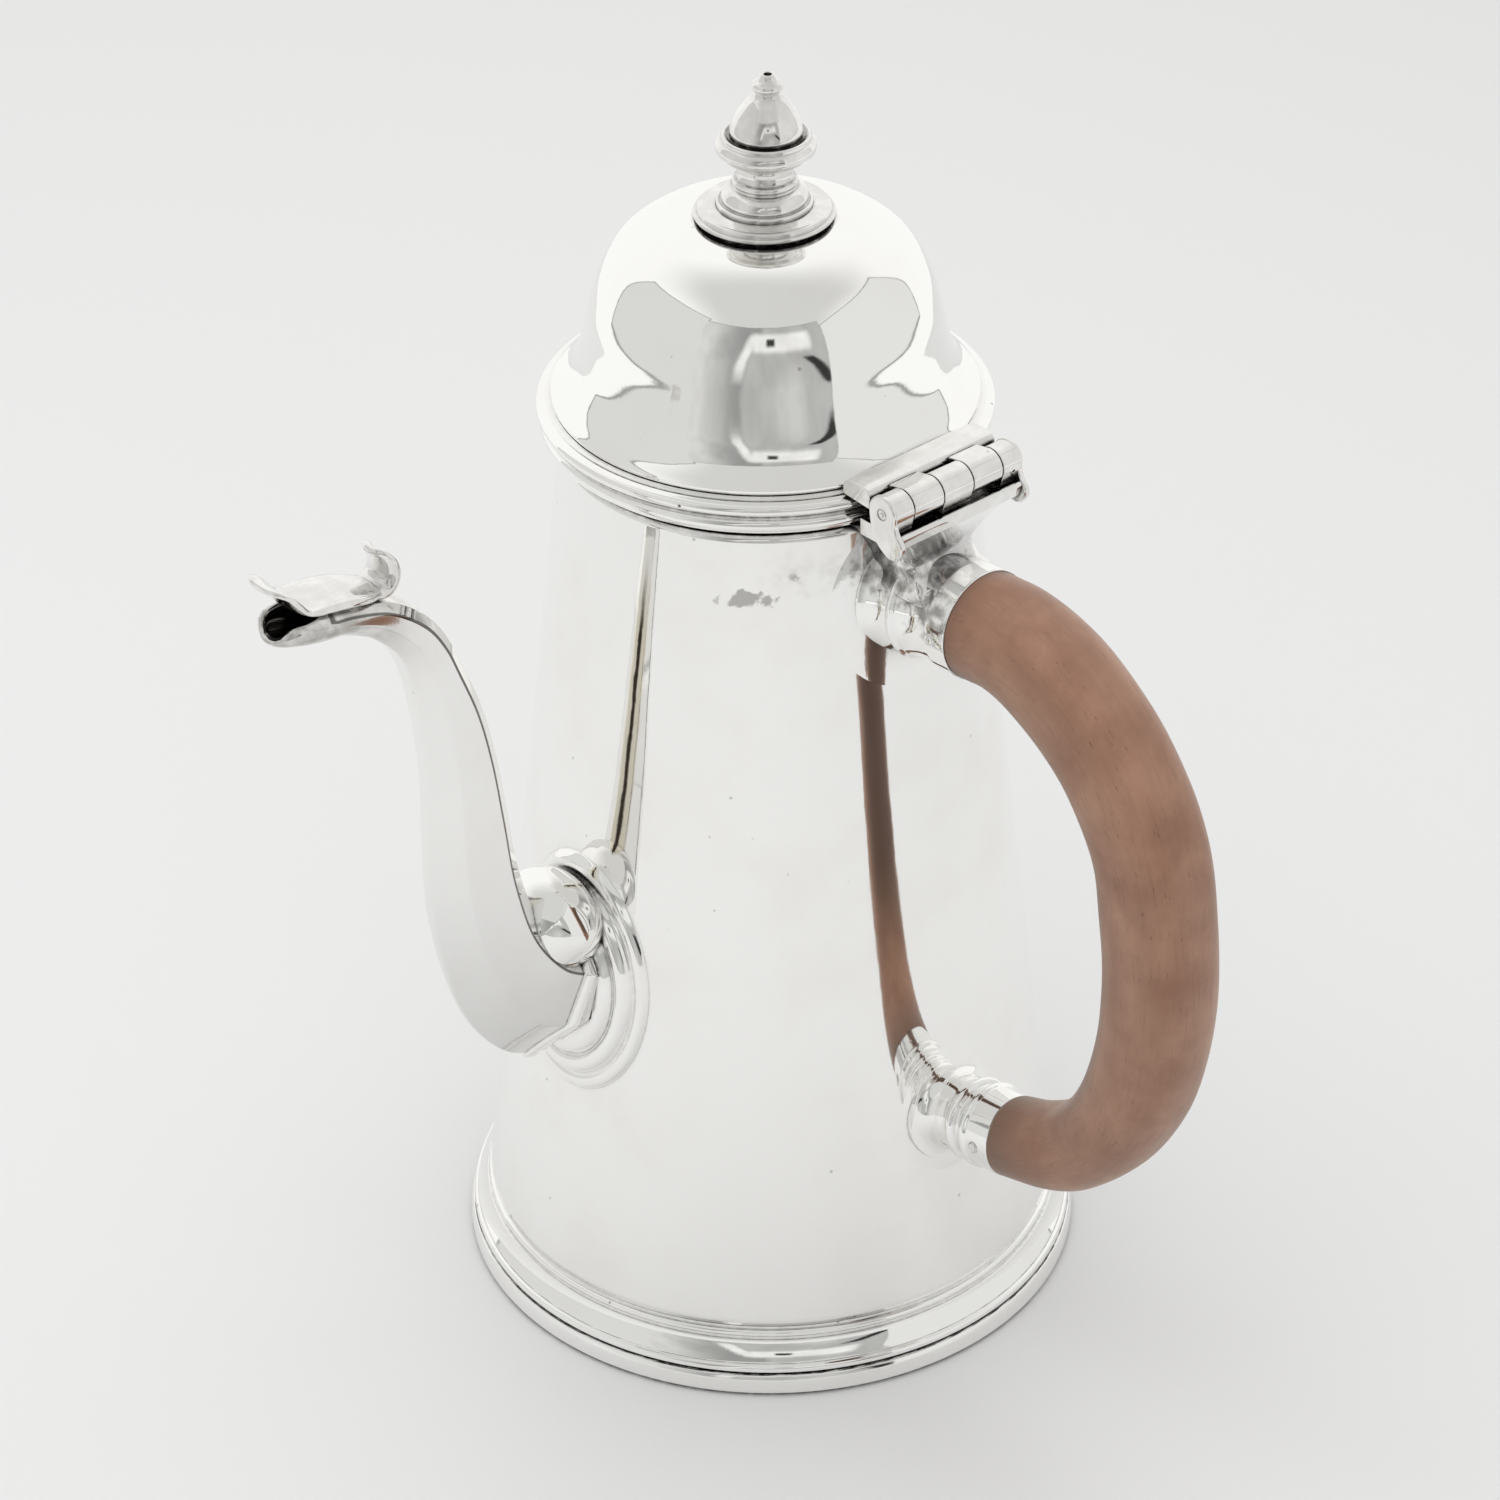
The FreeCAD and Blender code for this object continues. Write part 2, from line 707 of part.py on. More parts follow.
def make_sockets():
    thick = dim.socket_plate_thickness
    wall = dim.socket_wall
    height = upper_height()
    keep("upper_socket_plate", wall_plate("upper_socket_plate", 90.0, height, dim.upper_plate_half_width,
                                          dim.upper_plate_half_height, thick))
    outer = dim.upper_socket_radius
    bore = outer - wall - 0.6
    length = dim.upper_socket_length
    tube = turn("upper_socket", [
        (0.0, -4.0), (outer + 2.4, -4.0), (outer + 2.4, 1.0, -5.0), (outer + 0.2, 5.6), (outer + 0.7, 6.0, 0.8),
        (outer + 0.7, 7.0), (outer, 7.4), (outer, length), (bore, length), (bore, length - dim.tenon_length),
        (0.0, length - dim.tenon_length),
    ], upper_place())
    skin = wall_cone("upper_socket_skin", thick, height - outer - 8.0, height + outer + 8.0)
    tube = cut("upper_socket_seat", tube, skin)
    keep("upper_socket", cut("upper_socket", tube, pin_hole("upper", outer, upper_place(), length, 0.0)))

    height = dim.lower_socket_height
    keep("lower_socket_plate", wall_plate("lower_socket_plate", 90.0, height, dim.lower_plate_half_width,
                                          dim.lower_plate_half_height, thick))
    outer = dim.lower_socket_radius
    bore = outer - wall - 0.5
    length = dim.lower_socket_length
    tube = turn("lower_socket", [
        (0.0, -3.0), (outer + 1.6, -3.0), (outer + 1.6, 0.8, -6.0), (outer - 1.0, 7.2), (outer - 0.2, 7.8),
        (outer - 0.2, 9.0), (outer - 0.6, 9.6), (outer - 0.2, 11.0), (outer + 0.3, 11.4), (outer + 0.3, 12.2),
        (outer, 12.6), (outer, length), (bore, length), (bore, length - dim.tenon_length),
        (0.0, length - dim.tenon_length),
    ], lower_place())
    skin = wall_cone("lower_socket_skin", thick, height - outer - 8.0, height + outer + 8.0)
    tube = cut("lower_socket_seat", tube, skin)
    keep("lower_socket", cut("lower_socket", tube, pin_hole("lower", outer, lower_place(), length, 0.0)))


def pin_hole(end, outer, place, length, extra):
    """A rod across a socket, at the pin's inset from the mouth."""
    reach = outer + 0.35 + extra
    at = place.multVec(FreeCAD.Vector(0, 0, number(length - dim.socket_pin_inset)))
    return cross_rod(f"{end}_pin_rod_{extra:.0f}", dim.socket_pin_radius, reach * 2, at.y, at.z, -number(reach))


def make_pins():
    for end, outer, place, length in (
        ("upper", dim.upper_socket_radius, upper_place(), dim.upper_socket_length),
        ("lower", dim.lower_socket_radius, lower_place(), dim.lower_socket_length),
    ):
        keep(f"{end}_pin", pin_hole(end, outer - 0.1, place, length, 0.001))


# ---------------------------------------------------------------- handle
def handle_stations():
    """Centre, slope of the line and radius down the handle, from the upper socket to the lower."""
    top = upper_place().multVec(vector(z=dim.upper_socket_length))
    low = lower_place().multVec(vector(z=dim.lower_socket_length))
    reach = top.y + number(dim.handle_reach)
    upper = number(dim.handle_upper_radius)
    grip = number(dim.handle_grip_radius)
    lower = number(dim.handle_lower_radius)
    tilt_top = number(dim.upper_socket_tilt)
    tilt_low = number(dim.lower_socket_tilt)
    middle = (top.z + low.z) / 2
    return [
        (top.y, top.z, tilt_top, upper),
        (top.y + 7.5, top.z + 0.3, -2.0, upper),
        (top.y + 15.5, top.z - 1.6, -17.0, upper - 0.1),
        (top.y + 24.5, top.z - 6.4, -33.0, grip),
        (top.y + 33.0, top.z - 14.0, -51.0, grip),
        (top.y + 39.8, top.z - 25.5, -70.0, grip),
        (reach - 1.2, top.z - 37.5, -82.0, grip),
        (reach, middle - 2.5, -91.5, grip),
        (reach - 2.6, low.z + 31.0, -102.5, grip - 0.3),
        (reach - 8.2, low.z + 18.0, -120.0, grip - 0.9),
        (low.y + 17.0, low.z + 8.6, -143.0, grip - 1.5),
        (low.y + 9.0, low.z + 3.2, -160.0, lower + 0.3),
        (low.y, low.z, 180.0 + tilt_low, lower),
    ]


def ring_section(name, y, z, slope, radius):
    """A circle across the handle's line."""
    sketch = doc.addObject("Sketcher::SketchObject", name)
    draw_circle(sketch, (0.0, 0.0), radius)
    sketch.Placement = placed(0.0, y, z, (1, 0, 0), slope - 90.0)
    return sketch


def make_handle():
    rings = []
    for index, (y, z, slope, radius) in enumerate(handle_stations()):
        rings.append(ring_section(f"handle_ring_{index}", y, z, slope, Size(radius, repr(radius))))
    grip = doc.addObject("Part::Loft", "handle_grip")
    grip.Sections = rings
    grip.Solid = True
    grip.Ruled = False
    tenons = []
    for end, outer, thin, place, length in (
        ("upper", dim.upper_socket_radius, 0.6, upper_place(), dim.upper_socket_length),
        ("lower", dim.lower_socket_radius, 0.5, lower_place(), dim.lower_socket_length),
    ):
        radius = outer - dim.socket_wall - thin - dim.tenon_clearance
        start = place.multiply(placed(z=length - dim.tenon_length + 0.3))
        tenons.append(cylinder(f"{end}_tenon", radius, dim.tenon_length - 0.3, start))
    wood = fuse("handle", [grip] + tenons)
    for end, outer, place, length in (
        ("upper", dim.upper_socket_radius, upper_place(), dim.upper_socket_length),
        ("lower", dim.lower_socket_radius, lower_place(), dim.lower_socket_length),
    ):
        wood = cut(f"handle_{end}", wood, pin_hole(end, outer, place, length, 2.0))
    keep("handle", wood)


# ---------------------------------------------------------------- spout
def spout_station(station):
    sizes = [getattr(dim, f"spout_{station}_{word}") for word in ("out", "up", "slope", "depth", "width", "corner")]
    root = wall_radius(dim.spout_root_height)
    return root + sizes[0], dim.spout_root_height + sizes[1], *sizes[2:]


def spout_section(station, inset, name):
    """An eight-sided section across the spout's line, drawn in by inset."""
    x, z, slope, depth, width, corner = spout_station(station)
    half_depth = depth / 2 - inset
    half_width = width / 2 - inset
    nip = corner - inset * 0.6
    sketch = doc.addObject("Sketcher::SketchObject", name)
    draw_outline(sketch, [
        (half_width, -(half_depth - nip)), (half_width, half_depth - nip),
        (half_width - nip, half_depth), (-(half_width - nip), half_depth),
        (-half_width, half_depth - nip), (-half_width, -(half_depth - nip)),
        (-(half_width - nip), -half_depth), (half_width - nip, -half_depth),
    ])
    turn_up = FreeCAD.Rotation(FreeCAD.Vector(0, 1, 0), -number(slope))
    across = FreeCAD.Rotation(FreeCAD.Vector(0, 1, 0), FreeCAD.Vector(0, 0, 1), FreeCAD.Vector(1, 0, 0), "ZXY")
    sketch.Placement = FreeCAD.Placement(vector(x, 0.0, z), turn_up.multiply(across))
    return sketch


def spout_loft(name, inset):
    loft = doc.addObject("Part::Loft", name)
    loft.Sections = [spout_section(s, inset, f"{name}_{s}") for s in SPOUT_LINE]
    loft.Solid = True
    loft.Ruled = False
    return loft


def end_piece(name, station, inset, length, forward):
    """The section of one end of the spout carried straight on past it."""
    section = spout_section(station, inset, name + "_section")
    piece = doc.addObject("Part::Extrusion", name)
    piece.Base = section
    piece.DirMode = "Normal"
    piece.Solid = True
    bind(piece, "LengthFwd", Size(length if forward else 0.0, repr(length if forward else 0.0)))
    bind(piece, "LengthRev", Size(0.0 if forward else length, repr(0.0 if forward else length)))
    return piece


def make_spout():
    height = dim.spout_root_height
    thick = dim.spout_plate_thickness
    outer = fuse("spout_outer", [spout_loft("spout_skin", 0.0), end_piece("spout_root", "root", 0.0, 14.0, False)])
    bore = fuse("spout_bore", [
        spout_loft("spout_hollow", dim.spout_wall),
        end_piece("spout_way_in", "root", dim.spout_wall, 16.0, False),
        end_piece("spout_way_out", "lip", dim.spout_wall, 8.0, True),
    ])
    skin = wall_cone("spout_skin_cone", thick, height - 40.0, height + 40.0)
    tube = cut("spout_seat", cut("spout_tube", outer, bore), skin)
    far = wall_radius(height) + 90.0
    for side, low, high in (("left", 0.0, 30.0), ("right", -30.0, 0.0)):
        half = block(f"spout_{side}_space", (Size(0.0, "0"), Size(low, repr(low)), height - 60.0),
                     (far, Size(high, repr(high)), height + 120.0))
        keep(f"spout_{side}_half", common(f"spout_{side}_half", tube, half))
    plate = wall_plate("spout_plate", 0.0, height + 1.0, dim.spout_plate_half_width,
                       dim.spout_plate_half_height, thick)
    keep("spout_plate", cut("spout_plate_hole", plate, bore))
    boss = doc.addObject("Part::Ellipsoid", "spout_boss_ball")
    bind(boss, "Radius1", dim.spout_boss_radius)
    bind(boss, "Radius2", dim.spout_boss_radius * 1.15)
    bind(boss, "Radius3", dim.spout_boss_radius)
    boss.Angle1 = -90
    boss.Angle2 = 90
    boss.Placement = placed(wall_radius(height) + 4.0, 0.0, height + 16.5)
    keep("spout_boss", cut("spout_boss_seat", cut("spout_boss", boss, outer), skin))
    make_cover(outer)


def make_cover(outer):
    """The plate over the beak, curled up at its front edge, and the scroll behind it."""
    x, z = spout_station("bill")[:2]
    width = dim.spout_bill_width
    plate = slab("spout_cover", "XZ_Plane", [
        (x - 9.5, z - 2.5), (x + 4.5, z + 1.6), (x + 7.0, z + 4.4), (x + 12.4, z + 8.2),
        (x + 12.2, z + 9.2), (x + 9.0, z + 8.9, 5.0), (x + 6.0, z + 6.0), (x + 3.5, z + 5.6),
        (x - 4.0, z + 4.0), (x - 9.5, z + 3.6),
    ], width)
    trimmed = cut("spout_cover", plate, outer)
    keep("spout_cover", biggest(trimmed, "spout_cover"))
    radius = dim.spout_scroll_radius
    reach = dim.spout_scroll_length / 2
    centre_x = x - 9.5 - radius + 0.4
    centre_z = z + 3.9
    roll = cylinder("spout_scroll_roll", radius, reach * 2, placed(centre_x, reach, centre_z, (1, 0, 0), 90))
    stem = block("spout_scroll_stem", (centre_x - radius * 0.7, -reach, centre_z - 8.0),
                 (centre_x + radius * 0.7, reach, centre_z))
    trimmed = cut("spout_scroll", cut("spout_scroll_seat", fuse("spout_scroll", [roll, stem]), outer), plate)
    keep("spout_scroll", biggest(trimmed, "spout_scroll"))


def biggest(obj, label):
    """The largest solid of a result, where a trim leaves a crumb behind."""
    doc.recompute()
    piece = doc.addObject("Part::Feature", label + "_piece")
    piece.Shape = max(obj.Shape.Solids, key=lambda solid: solid.Volume)
    return piece


def check_and_write():
    """Refuse a failed or empty piece, then write one STEP file for each sub-part."""
    doc.recompute()
    for obj in doc.Objects:
        if "Invalid" in obj.State or "Error" in obj.State:
            raise RuntimeError(f"{obj.Label}: {obj.State}")
    for label, obj in SUBPARTS.items():
        if obj.Shape.isNull() or not obj.Shape.isValid() or not obj.Shape.Solids:
            raise RuntimeError(f"{label}: its shape is empty or invalid")
    os.makedirs("parts", exist_ok=True)
    for label, obj in SUBPARTS.items():
        obj.Shape.exportStep(f"parts/{label}.step")
        print(f"{label:22s} {len(obj.Shape.Solids)} solid(s), {obj.Shape.Volume:10.1f} mm3")


make_foot()
make_body()
make_lid()
make_finial()
make_sockets()
make_hinge()
make_pins()
make_handle()
make_spout()
check_and_write()
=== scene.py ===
import math

import bmesh
import bpy
from mathutils import Matrix, Vector, noise


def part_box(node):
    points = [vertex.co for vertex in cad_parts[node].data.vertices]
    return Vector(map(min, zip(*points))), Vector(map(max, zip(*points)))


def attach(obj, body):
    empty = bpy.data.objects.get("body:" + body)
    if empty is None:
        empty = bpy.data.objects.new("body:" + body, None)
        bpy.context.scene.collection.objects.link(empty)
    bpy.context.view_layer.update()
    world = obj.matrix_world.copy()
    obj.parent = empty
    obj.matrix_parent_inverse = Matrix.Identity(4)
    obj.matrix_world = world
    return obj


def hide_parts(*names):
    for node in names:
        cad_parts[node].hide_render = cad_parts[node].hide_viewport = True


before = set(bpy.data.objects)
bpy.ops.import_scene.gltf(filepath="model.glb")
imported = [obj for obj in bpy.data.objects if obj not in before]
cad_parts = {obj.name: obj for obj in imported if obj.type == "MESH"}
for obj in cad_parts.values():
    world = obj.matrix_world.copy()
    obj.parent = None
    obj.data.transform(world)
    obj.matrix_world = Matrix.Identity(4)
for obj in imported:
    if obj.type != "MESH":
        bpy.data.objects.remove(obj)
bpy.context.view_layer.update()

# A silver coffee pot on a pale floor. The frame gives the places in metres; the pieces are worked
# out in millimetres from its nodes' boxes and made into meshes at MM metres to the millimetre.
MM = 0.001
SPAN = {node: [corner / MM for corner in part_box(node)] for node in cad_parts}


def low(node):
    return SPAN[node][0]


def high(node):
    return SPAN[node][1]


def middle(node):
    return (low(node) + high(node)) / 2


def radius_at(node, height, reach=0.4):
    """How far a node's metal stands from the pot's axis near a height."""
    found = 0.0
    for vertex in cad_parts[node].data.vertices:
        point = vertex.co / MM
        if abs(point.z - height) < reach:
            found = max(found, math.hypot(point.x, point.y))
    return found


BODY_LOW = low("body").z
BODY_TOP = high("body").z
BODY_BASE_RADIUS = high("body").x
BODY_TOP_RADIUS = radius_at("body", BODY_TOP)
BODY_WALL = 0.9
TAPER = (BODY_BASE_RADIUS - BODY_TOP_RADIUS) / (BODY_TOP - BODY_LOW)
MOUTH_RADIUS = BODY_TOP_RADIUS - BODY_WALL
SPLIT = high("body_rim").z
BEZEL_TOP = high("lid_bezel").z
HINGE = Vector((0.0, middle("hinge_pin").y, middle("hinge_pin").z))
BARREL_RADIUS = high("body_knuckle_middle").y - HINGE.y
HINGE_HALF = high("hinge_pin").x


def wall_radius(height):
    return BODY_BASE_RADIUS - TAPER * (height - BODY_LOW)


# ---------------------------------------------------------------- outlines
CORNER_ROUND = 0.22
QUARTER_TURN = Matrix.Rotation(math.pi / 2, 4, "Y")
ARC_STEP = math.radians(7.0)


def arc_between(a, b, radius):
    """Points of the arc from a to b, ends left out: a positive radius bulges to the right."""
    chord = b - a
    half = chord.length / 2
    size = max(abs(radius), half * 1.0001)
    right = Vector((chord.y, -chord.x)).normalized() * math.copysign(1.0, radius)
    centre = (a + b) / 2 - right * math.sqrt(size * size - half * half)
    angle = 2 * math.asin(half / size)
    arm = a - centre
    sign = math.copysign(1.0, arm.x * (b - centre).y - arm.y * (b - centre).x)
    count = max(3, math.ceil(angle / ARC_STEP))
    points = []
    for i in range(1, count):
        turn = Matrix.Rotation(sign * angle * i / count, 2)
        points.append(centre + turn @ arm)
    return points


def outline_points(outline, closed=True):
    """Corners and arcs as (point, is a corner): a corner is (x, y) or (x, y, radius of the arc on)."""
    points = []
    count = len(outline)
    for i, corner in enumerate(outline):
        a = Vector(corner[:2])
        points.append((a, True))
        if len(corner) > 2 and (closed or i < count - 1):
            b = Vector(outline[(i + 1) % count][:2])
            points += [(p, False) for p in arc_between(a, b, corner[2])]
    return points


def softened(outline, rounding=CORNER_ROUND, closed=True):
    """An outline with its sharp corners rounded and held by a close point on each side."""
    points = outline_points(outline, closed)
    result = []
    for i, (p, corner) in enumerate(points):
        if not closed and i in (0, len(points) - 1):
            result.append(p)
            continue
        before = points[i - 1][0] - p
        after = points[(i + 1) % len(points)][0] - p
        turn = before.angle(-after) if before.length > 1e-9 and after.length > 1e-9 else 0.0
        if not corner or turn < math.radians(12) or abs(p.x) < 1e-6:
            result.append(p)
            continue
        reach = min(rounding, 0.3 * before.length, 0.3 * after.length)
        start = p + before.normalized() * reach
        end = p + after.normalized() * reach
        result.append(start + before.normalized() * reach * 0.8)
        for step in range(5):
            s = step / 4
            result.append(start * (1 - s) ** 2 + p * 2 * s * (1 - s) + end * s * s)
        result.append(end + after.normalized() * reach * 0.8)
    return result


def smooth_line(stations, steps):
    """A smooth run of values through stations, each a tuple of numbers (Catmull-Rom)."""
    rows = [tuple(map(float, s)) for s in stations]
    rows = [tuple(2 * a - b for a, b in zip(rows[0], rows[1]))] + rows
    rows = rows + [tuple(2 * a - b for a, b in zip(rows[-1], rows[-2]))]
    result = []
    for i in range(1, len(rows) - 2):
        last = i == len(rows) - 3
        for k in range(steps + (1 if last else 0)):
            s = k / steps
            result.append(tuple(
                0.5 * (2 * b + (c - a) * s + (2 * a - 5 * b + 4 * c - d) * s * s
                       + (3 * b - a - 3 * c + d) * s ** 3)
                for a, b, c, d in zip(*rows[i - 1:i + 3])
            ))
    return result


def ease(value, start, end):
    """0 before start, 1 after end, and a smooth rise between."""
    t = min(max((value - start) / (end - start), 0.0), 1.0)
    return t * t * (3 - 2 * t)


# ---------------------------------------------------------------- pieces
PIECES = []


def register(obj, body, nodes, slot="silver"):
    """Keep a finished piece with the body it rides on and the nodes it stands for."""
    PIECES.append((obj, body, nodes, slot))
    return obj


def make_piece(name, points, faces, body, nodes, material):
    """A smooth closed mesh from points in millimetres, its faces pointing outwards."""
    mesh = bpy.data.meshes.new(name)
    mesh.from_pydata([Vector(p) * MM for p in points], [], faces)
    shape = bmesh.new()
    shape.from_mesh(mesh)
    bmesh.ops.remove_doubles(shape, verts=shape.verts, dist=1e-7)
    bmesh.ops.recalc_face_normals(shape, faces=shape.faces)
    for face in shape.faces:
        face.smooth = True
    shape.to_mesh(mesh)
    shape.free()
    mesh.materials.append(material)
    obj = bpy.data.objects.new(name, mesh)
    bpy.context.scene.collection.objects.link(obj)
    return register(obj, body, nodes)


def baked(obj):
    """Put an object's modifiers into its mesh and take them off it."""
    graph = bpy.context.evaluated_depsgraph_get()
    graph.update()
    mesh = bpy.data.meshes.new_from_object(obj.evaluated_get(graph))
    old = obj.data
    obj.modifiers.clear()
    obj.data = mesh
    mesh.name = obj.name
    if old.users == 0:
        bpy.data.meshes.remove(old)
    return obj


def bevelled(obj, width, segments=3, angle=28):
    """Round a piece's edges as a maker's file and polish do."""
    bevel = obj.modifiers.new("edges", "BEVEL")
    bevel.width = width * MM
    bevel.segments = segments
    bevel.limit_method = "ANGLE"
    bevel.angle_limit = math.radians(angle)
    bevel.harden_normals = True
    bevel.use_clamp_overlap = True
    return baked(obj)


def ring_faces(rows, count, closed_rows=False):
    """Quads between rows of count points, each row a closed ring."""
    faces = []
    for row in range(rows if closed_rows else rows - 1):
        following = (row + 1) % rows
        for i in range(count):
            j = (i + 1) % count
            faces.append((row * count + i, row * count + j, following * count + j, following * count + i))
    return faces


def loft(name, rings, body, nodes, material, caps=True):
    """A closed skin over rings of equally many points, with its two ends capped or joined."""
    count = len(rings[0])
    points = [p for ring in rings for p in ring]
    faces = ring_faces(len(rings), count, closed_rows=not caps)
    if caps:
        faces.append(tuple(range(count))[::-1])
        faces.append(tuple(range(len(points) - count, len(points))))
    return make_piece(name, points, faces, body, nodes, material)


def turned(name, outline, body, nodes, material, place=None, steps=192, shape=None, rounding=CORNER_ROUND):
    """Turn a closed outline of (radius, height) round the Z axis, then put it in place."""
    line = softened(outline, rounding)
    points = []
    rows = []
    for p in line:
        if abs(p.x) < 1e-6:
            rows.append([len(points)] * steps)
            points.append(Vector((0.0, 0.0, p.y)))
            continue
        rows.append(list(range(len(points), len(points) + steps)))
        for i in range(steps):
            angle = 2 * math.pi * i / steps
            points.append(Vector((p.x * math.cos(angle), p.x * math.sin(angle), p.y)))
    faces = []
    for row, a in enumerate(rows):
        b = rows[(row + 1) % len(rows)]
        for i in range(steps):
            j = (i + 1) % steps
            corners = []
            for index in (a[i], a[j], b[j], b[i]):
                if index not in corners:
                    corners.append(index)
            if len(corners) > 2:
                faces.append(tuple(corners))
    if shape:
        points = [shape(p) for p in points]
    if place:
        points = [place @ p for p in points]
    return make_piece(name, points, faces, body, nodes, material)


def bar(name, outline, start, end, body, nodes, material, edge=0.3):
    """An outline of (y, z) drawn out along X from start to end, with softened edges."""
    line = [p for p, _ in outline_points(outline)]
    count = len(line)
    points = [Vector((x, p.x, p.y)) for x in (start, end) for p in line]
    faces = ring_faces(2, count)
    faces.append(tuple(range(count))[::-1])
    faces.append(tuple(range(count, 2 * count)))
    return bevelled(make_piece(name, points, faces, body, nodes, material), edge)


def hammered(point, depth=0.05, grain=22.0):
    """The slight waves that raising and planishing leave in sheet metal."""
    radius = math.hypot(point.x, point.y)
    if radius < 1e-6:
        return point
    wave = noise.noise(point / grain) + 0.35 * noise.noise(point / (grain * 0.37) + Vector((9, 4, 2)))
    grown = 1 + depth * wave / radius
    return Vector((point.x * grown, point.y * grown, point.z))


# ---------------------------------------------------------------- node helpers
FLOAT = "NodeSocketFloat"
COLOR = "NodeSocketColor"
VECTOR = "NodeSocketVector"


def put(tree, kind, place=(0, 0), **values):
    """Add a node. A value's name is a property, or an input's name or number after 'in_'."""
    node = tree.nodes.new(kind)
    node.location = place
    for name, value in values.items():
        if name.startswith("in_"):
            key = name[3:].replace("_", " ")
            socket = node.inputs[int(key)] if key.isdigit() else node.inputs[key]
            if isinstance(value, bpy.types.NodeSocket):
                tree.links.new(value, socket)
            else:
                socket.default_value = value
        else:
            setattr(node, name, value)
    return node


def maths(tree, operation, a, b=0.0, c=0.0):
    return put(tree, "ShaderNodeMath", operation=operation, in_0=a, in_1=b, in_2=c).outputs[0]


def product(tree, first, *others):
    """Multiply values together, one after another."""
    for other in others:
        first = maths(tree, "MULTIPLY", first, other)
    return first


def blend_colors(tree, amount, a, b, kind="MIX"):
    node = tree.nodes.new("ShaderNodeMix")
    node.data_type = "RGBA"
    node.blend_type = kind
    for index, value in ((0, amount), (6, a), (7, b)):
        if isinstance(value, bpy.types.NodeSocket):
            tree.links.new(value, node.inputs[index])
        else:
            node.inputs[index].default_value = value
    return node.outputs[2]


def spread(tree, value, lo, hi, out_lo=0.0, out_hi=1.0):
    """Map lo to out_lo and hi to out_hi, with a smooth change between and no change beyond."""
    node = put(tree, "ShaderNodeMapRange", interpolation_type="SMOOTHSTEP", clamp=True)
    for index, v in enumerate((value, lo, hi, out_lo, out_hi)):
        if isinstance(v, bpy.types.NodeSocket):
            tree.links.new(v, node.inputs[index])
        else:
            node.inputs[index].default_value = v
    return node.outputs[0]


def cloud(tree, vector, scale, detail=3.0, roughness=0.5):
    """Soft cloudy noise, 0 to 1."""
    noise_node = put(tree, "ShaderNodeTexNoise", in_Vector=vector, in_Scale=scale, in_Detail=detail,
                     in_Roughness=roughness)
    return noise_node.outputs["Fac"]


def new_group(name, inputs, outputs, kind="ShaderNodeTree"):
    """A node group with named inputs (name, socket kind, default) and outputs (name, kind)."""
    group = bpy.data.node_groups.new(name, kind)
    for label, socket, default in inputs:
        item = group.interface.new_socket(label, in_out="INPUT", socket_type=socket)
        if default is not None:
            item.default_value = default
    for label, socket in outputs:
        group.interface.new_socket(label, in_out="OUTPUT", socket_type=socket)
    source = put(group, "NodeGroupInput", (-1200, 0))
    sink = put(group, "NodeGroupOutput", (900, 0))
    return group, source, sink


# ---------------------------------------------------------------- silver
BRIGHT_SILVER = (0.96, 0.957, 0.94, 1.0)
CLOUDED = (0.88, 0.865, 0.825, 1.0)
DULLED = (0.42, 0.4, 0.38, 1.0)
TARNISH_AND_SHADE = (0.16, 0.15, 0.155, 1.0)
BLACKENED = (0.04, 0.036, 0.034, 1.0)
GREY_TARNISH_AND_SHADE = (0.3, 0.29, 0.275, 1.0)
GOLDEN_PAINTED_SHADE = (0.8, 0.72, 0.55, 1.0)
SEAM_AND_SHADE_DARK = (0.05, 0.04, 0.03, 1.0)
EDGE_DARK = (0.06, 0.055, 0.05, 1.0)
POLISHED = 0.04


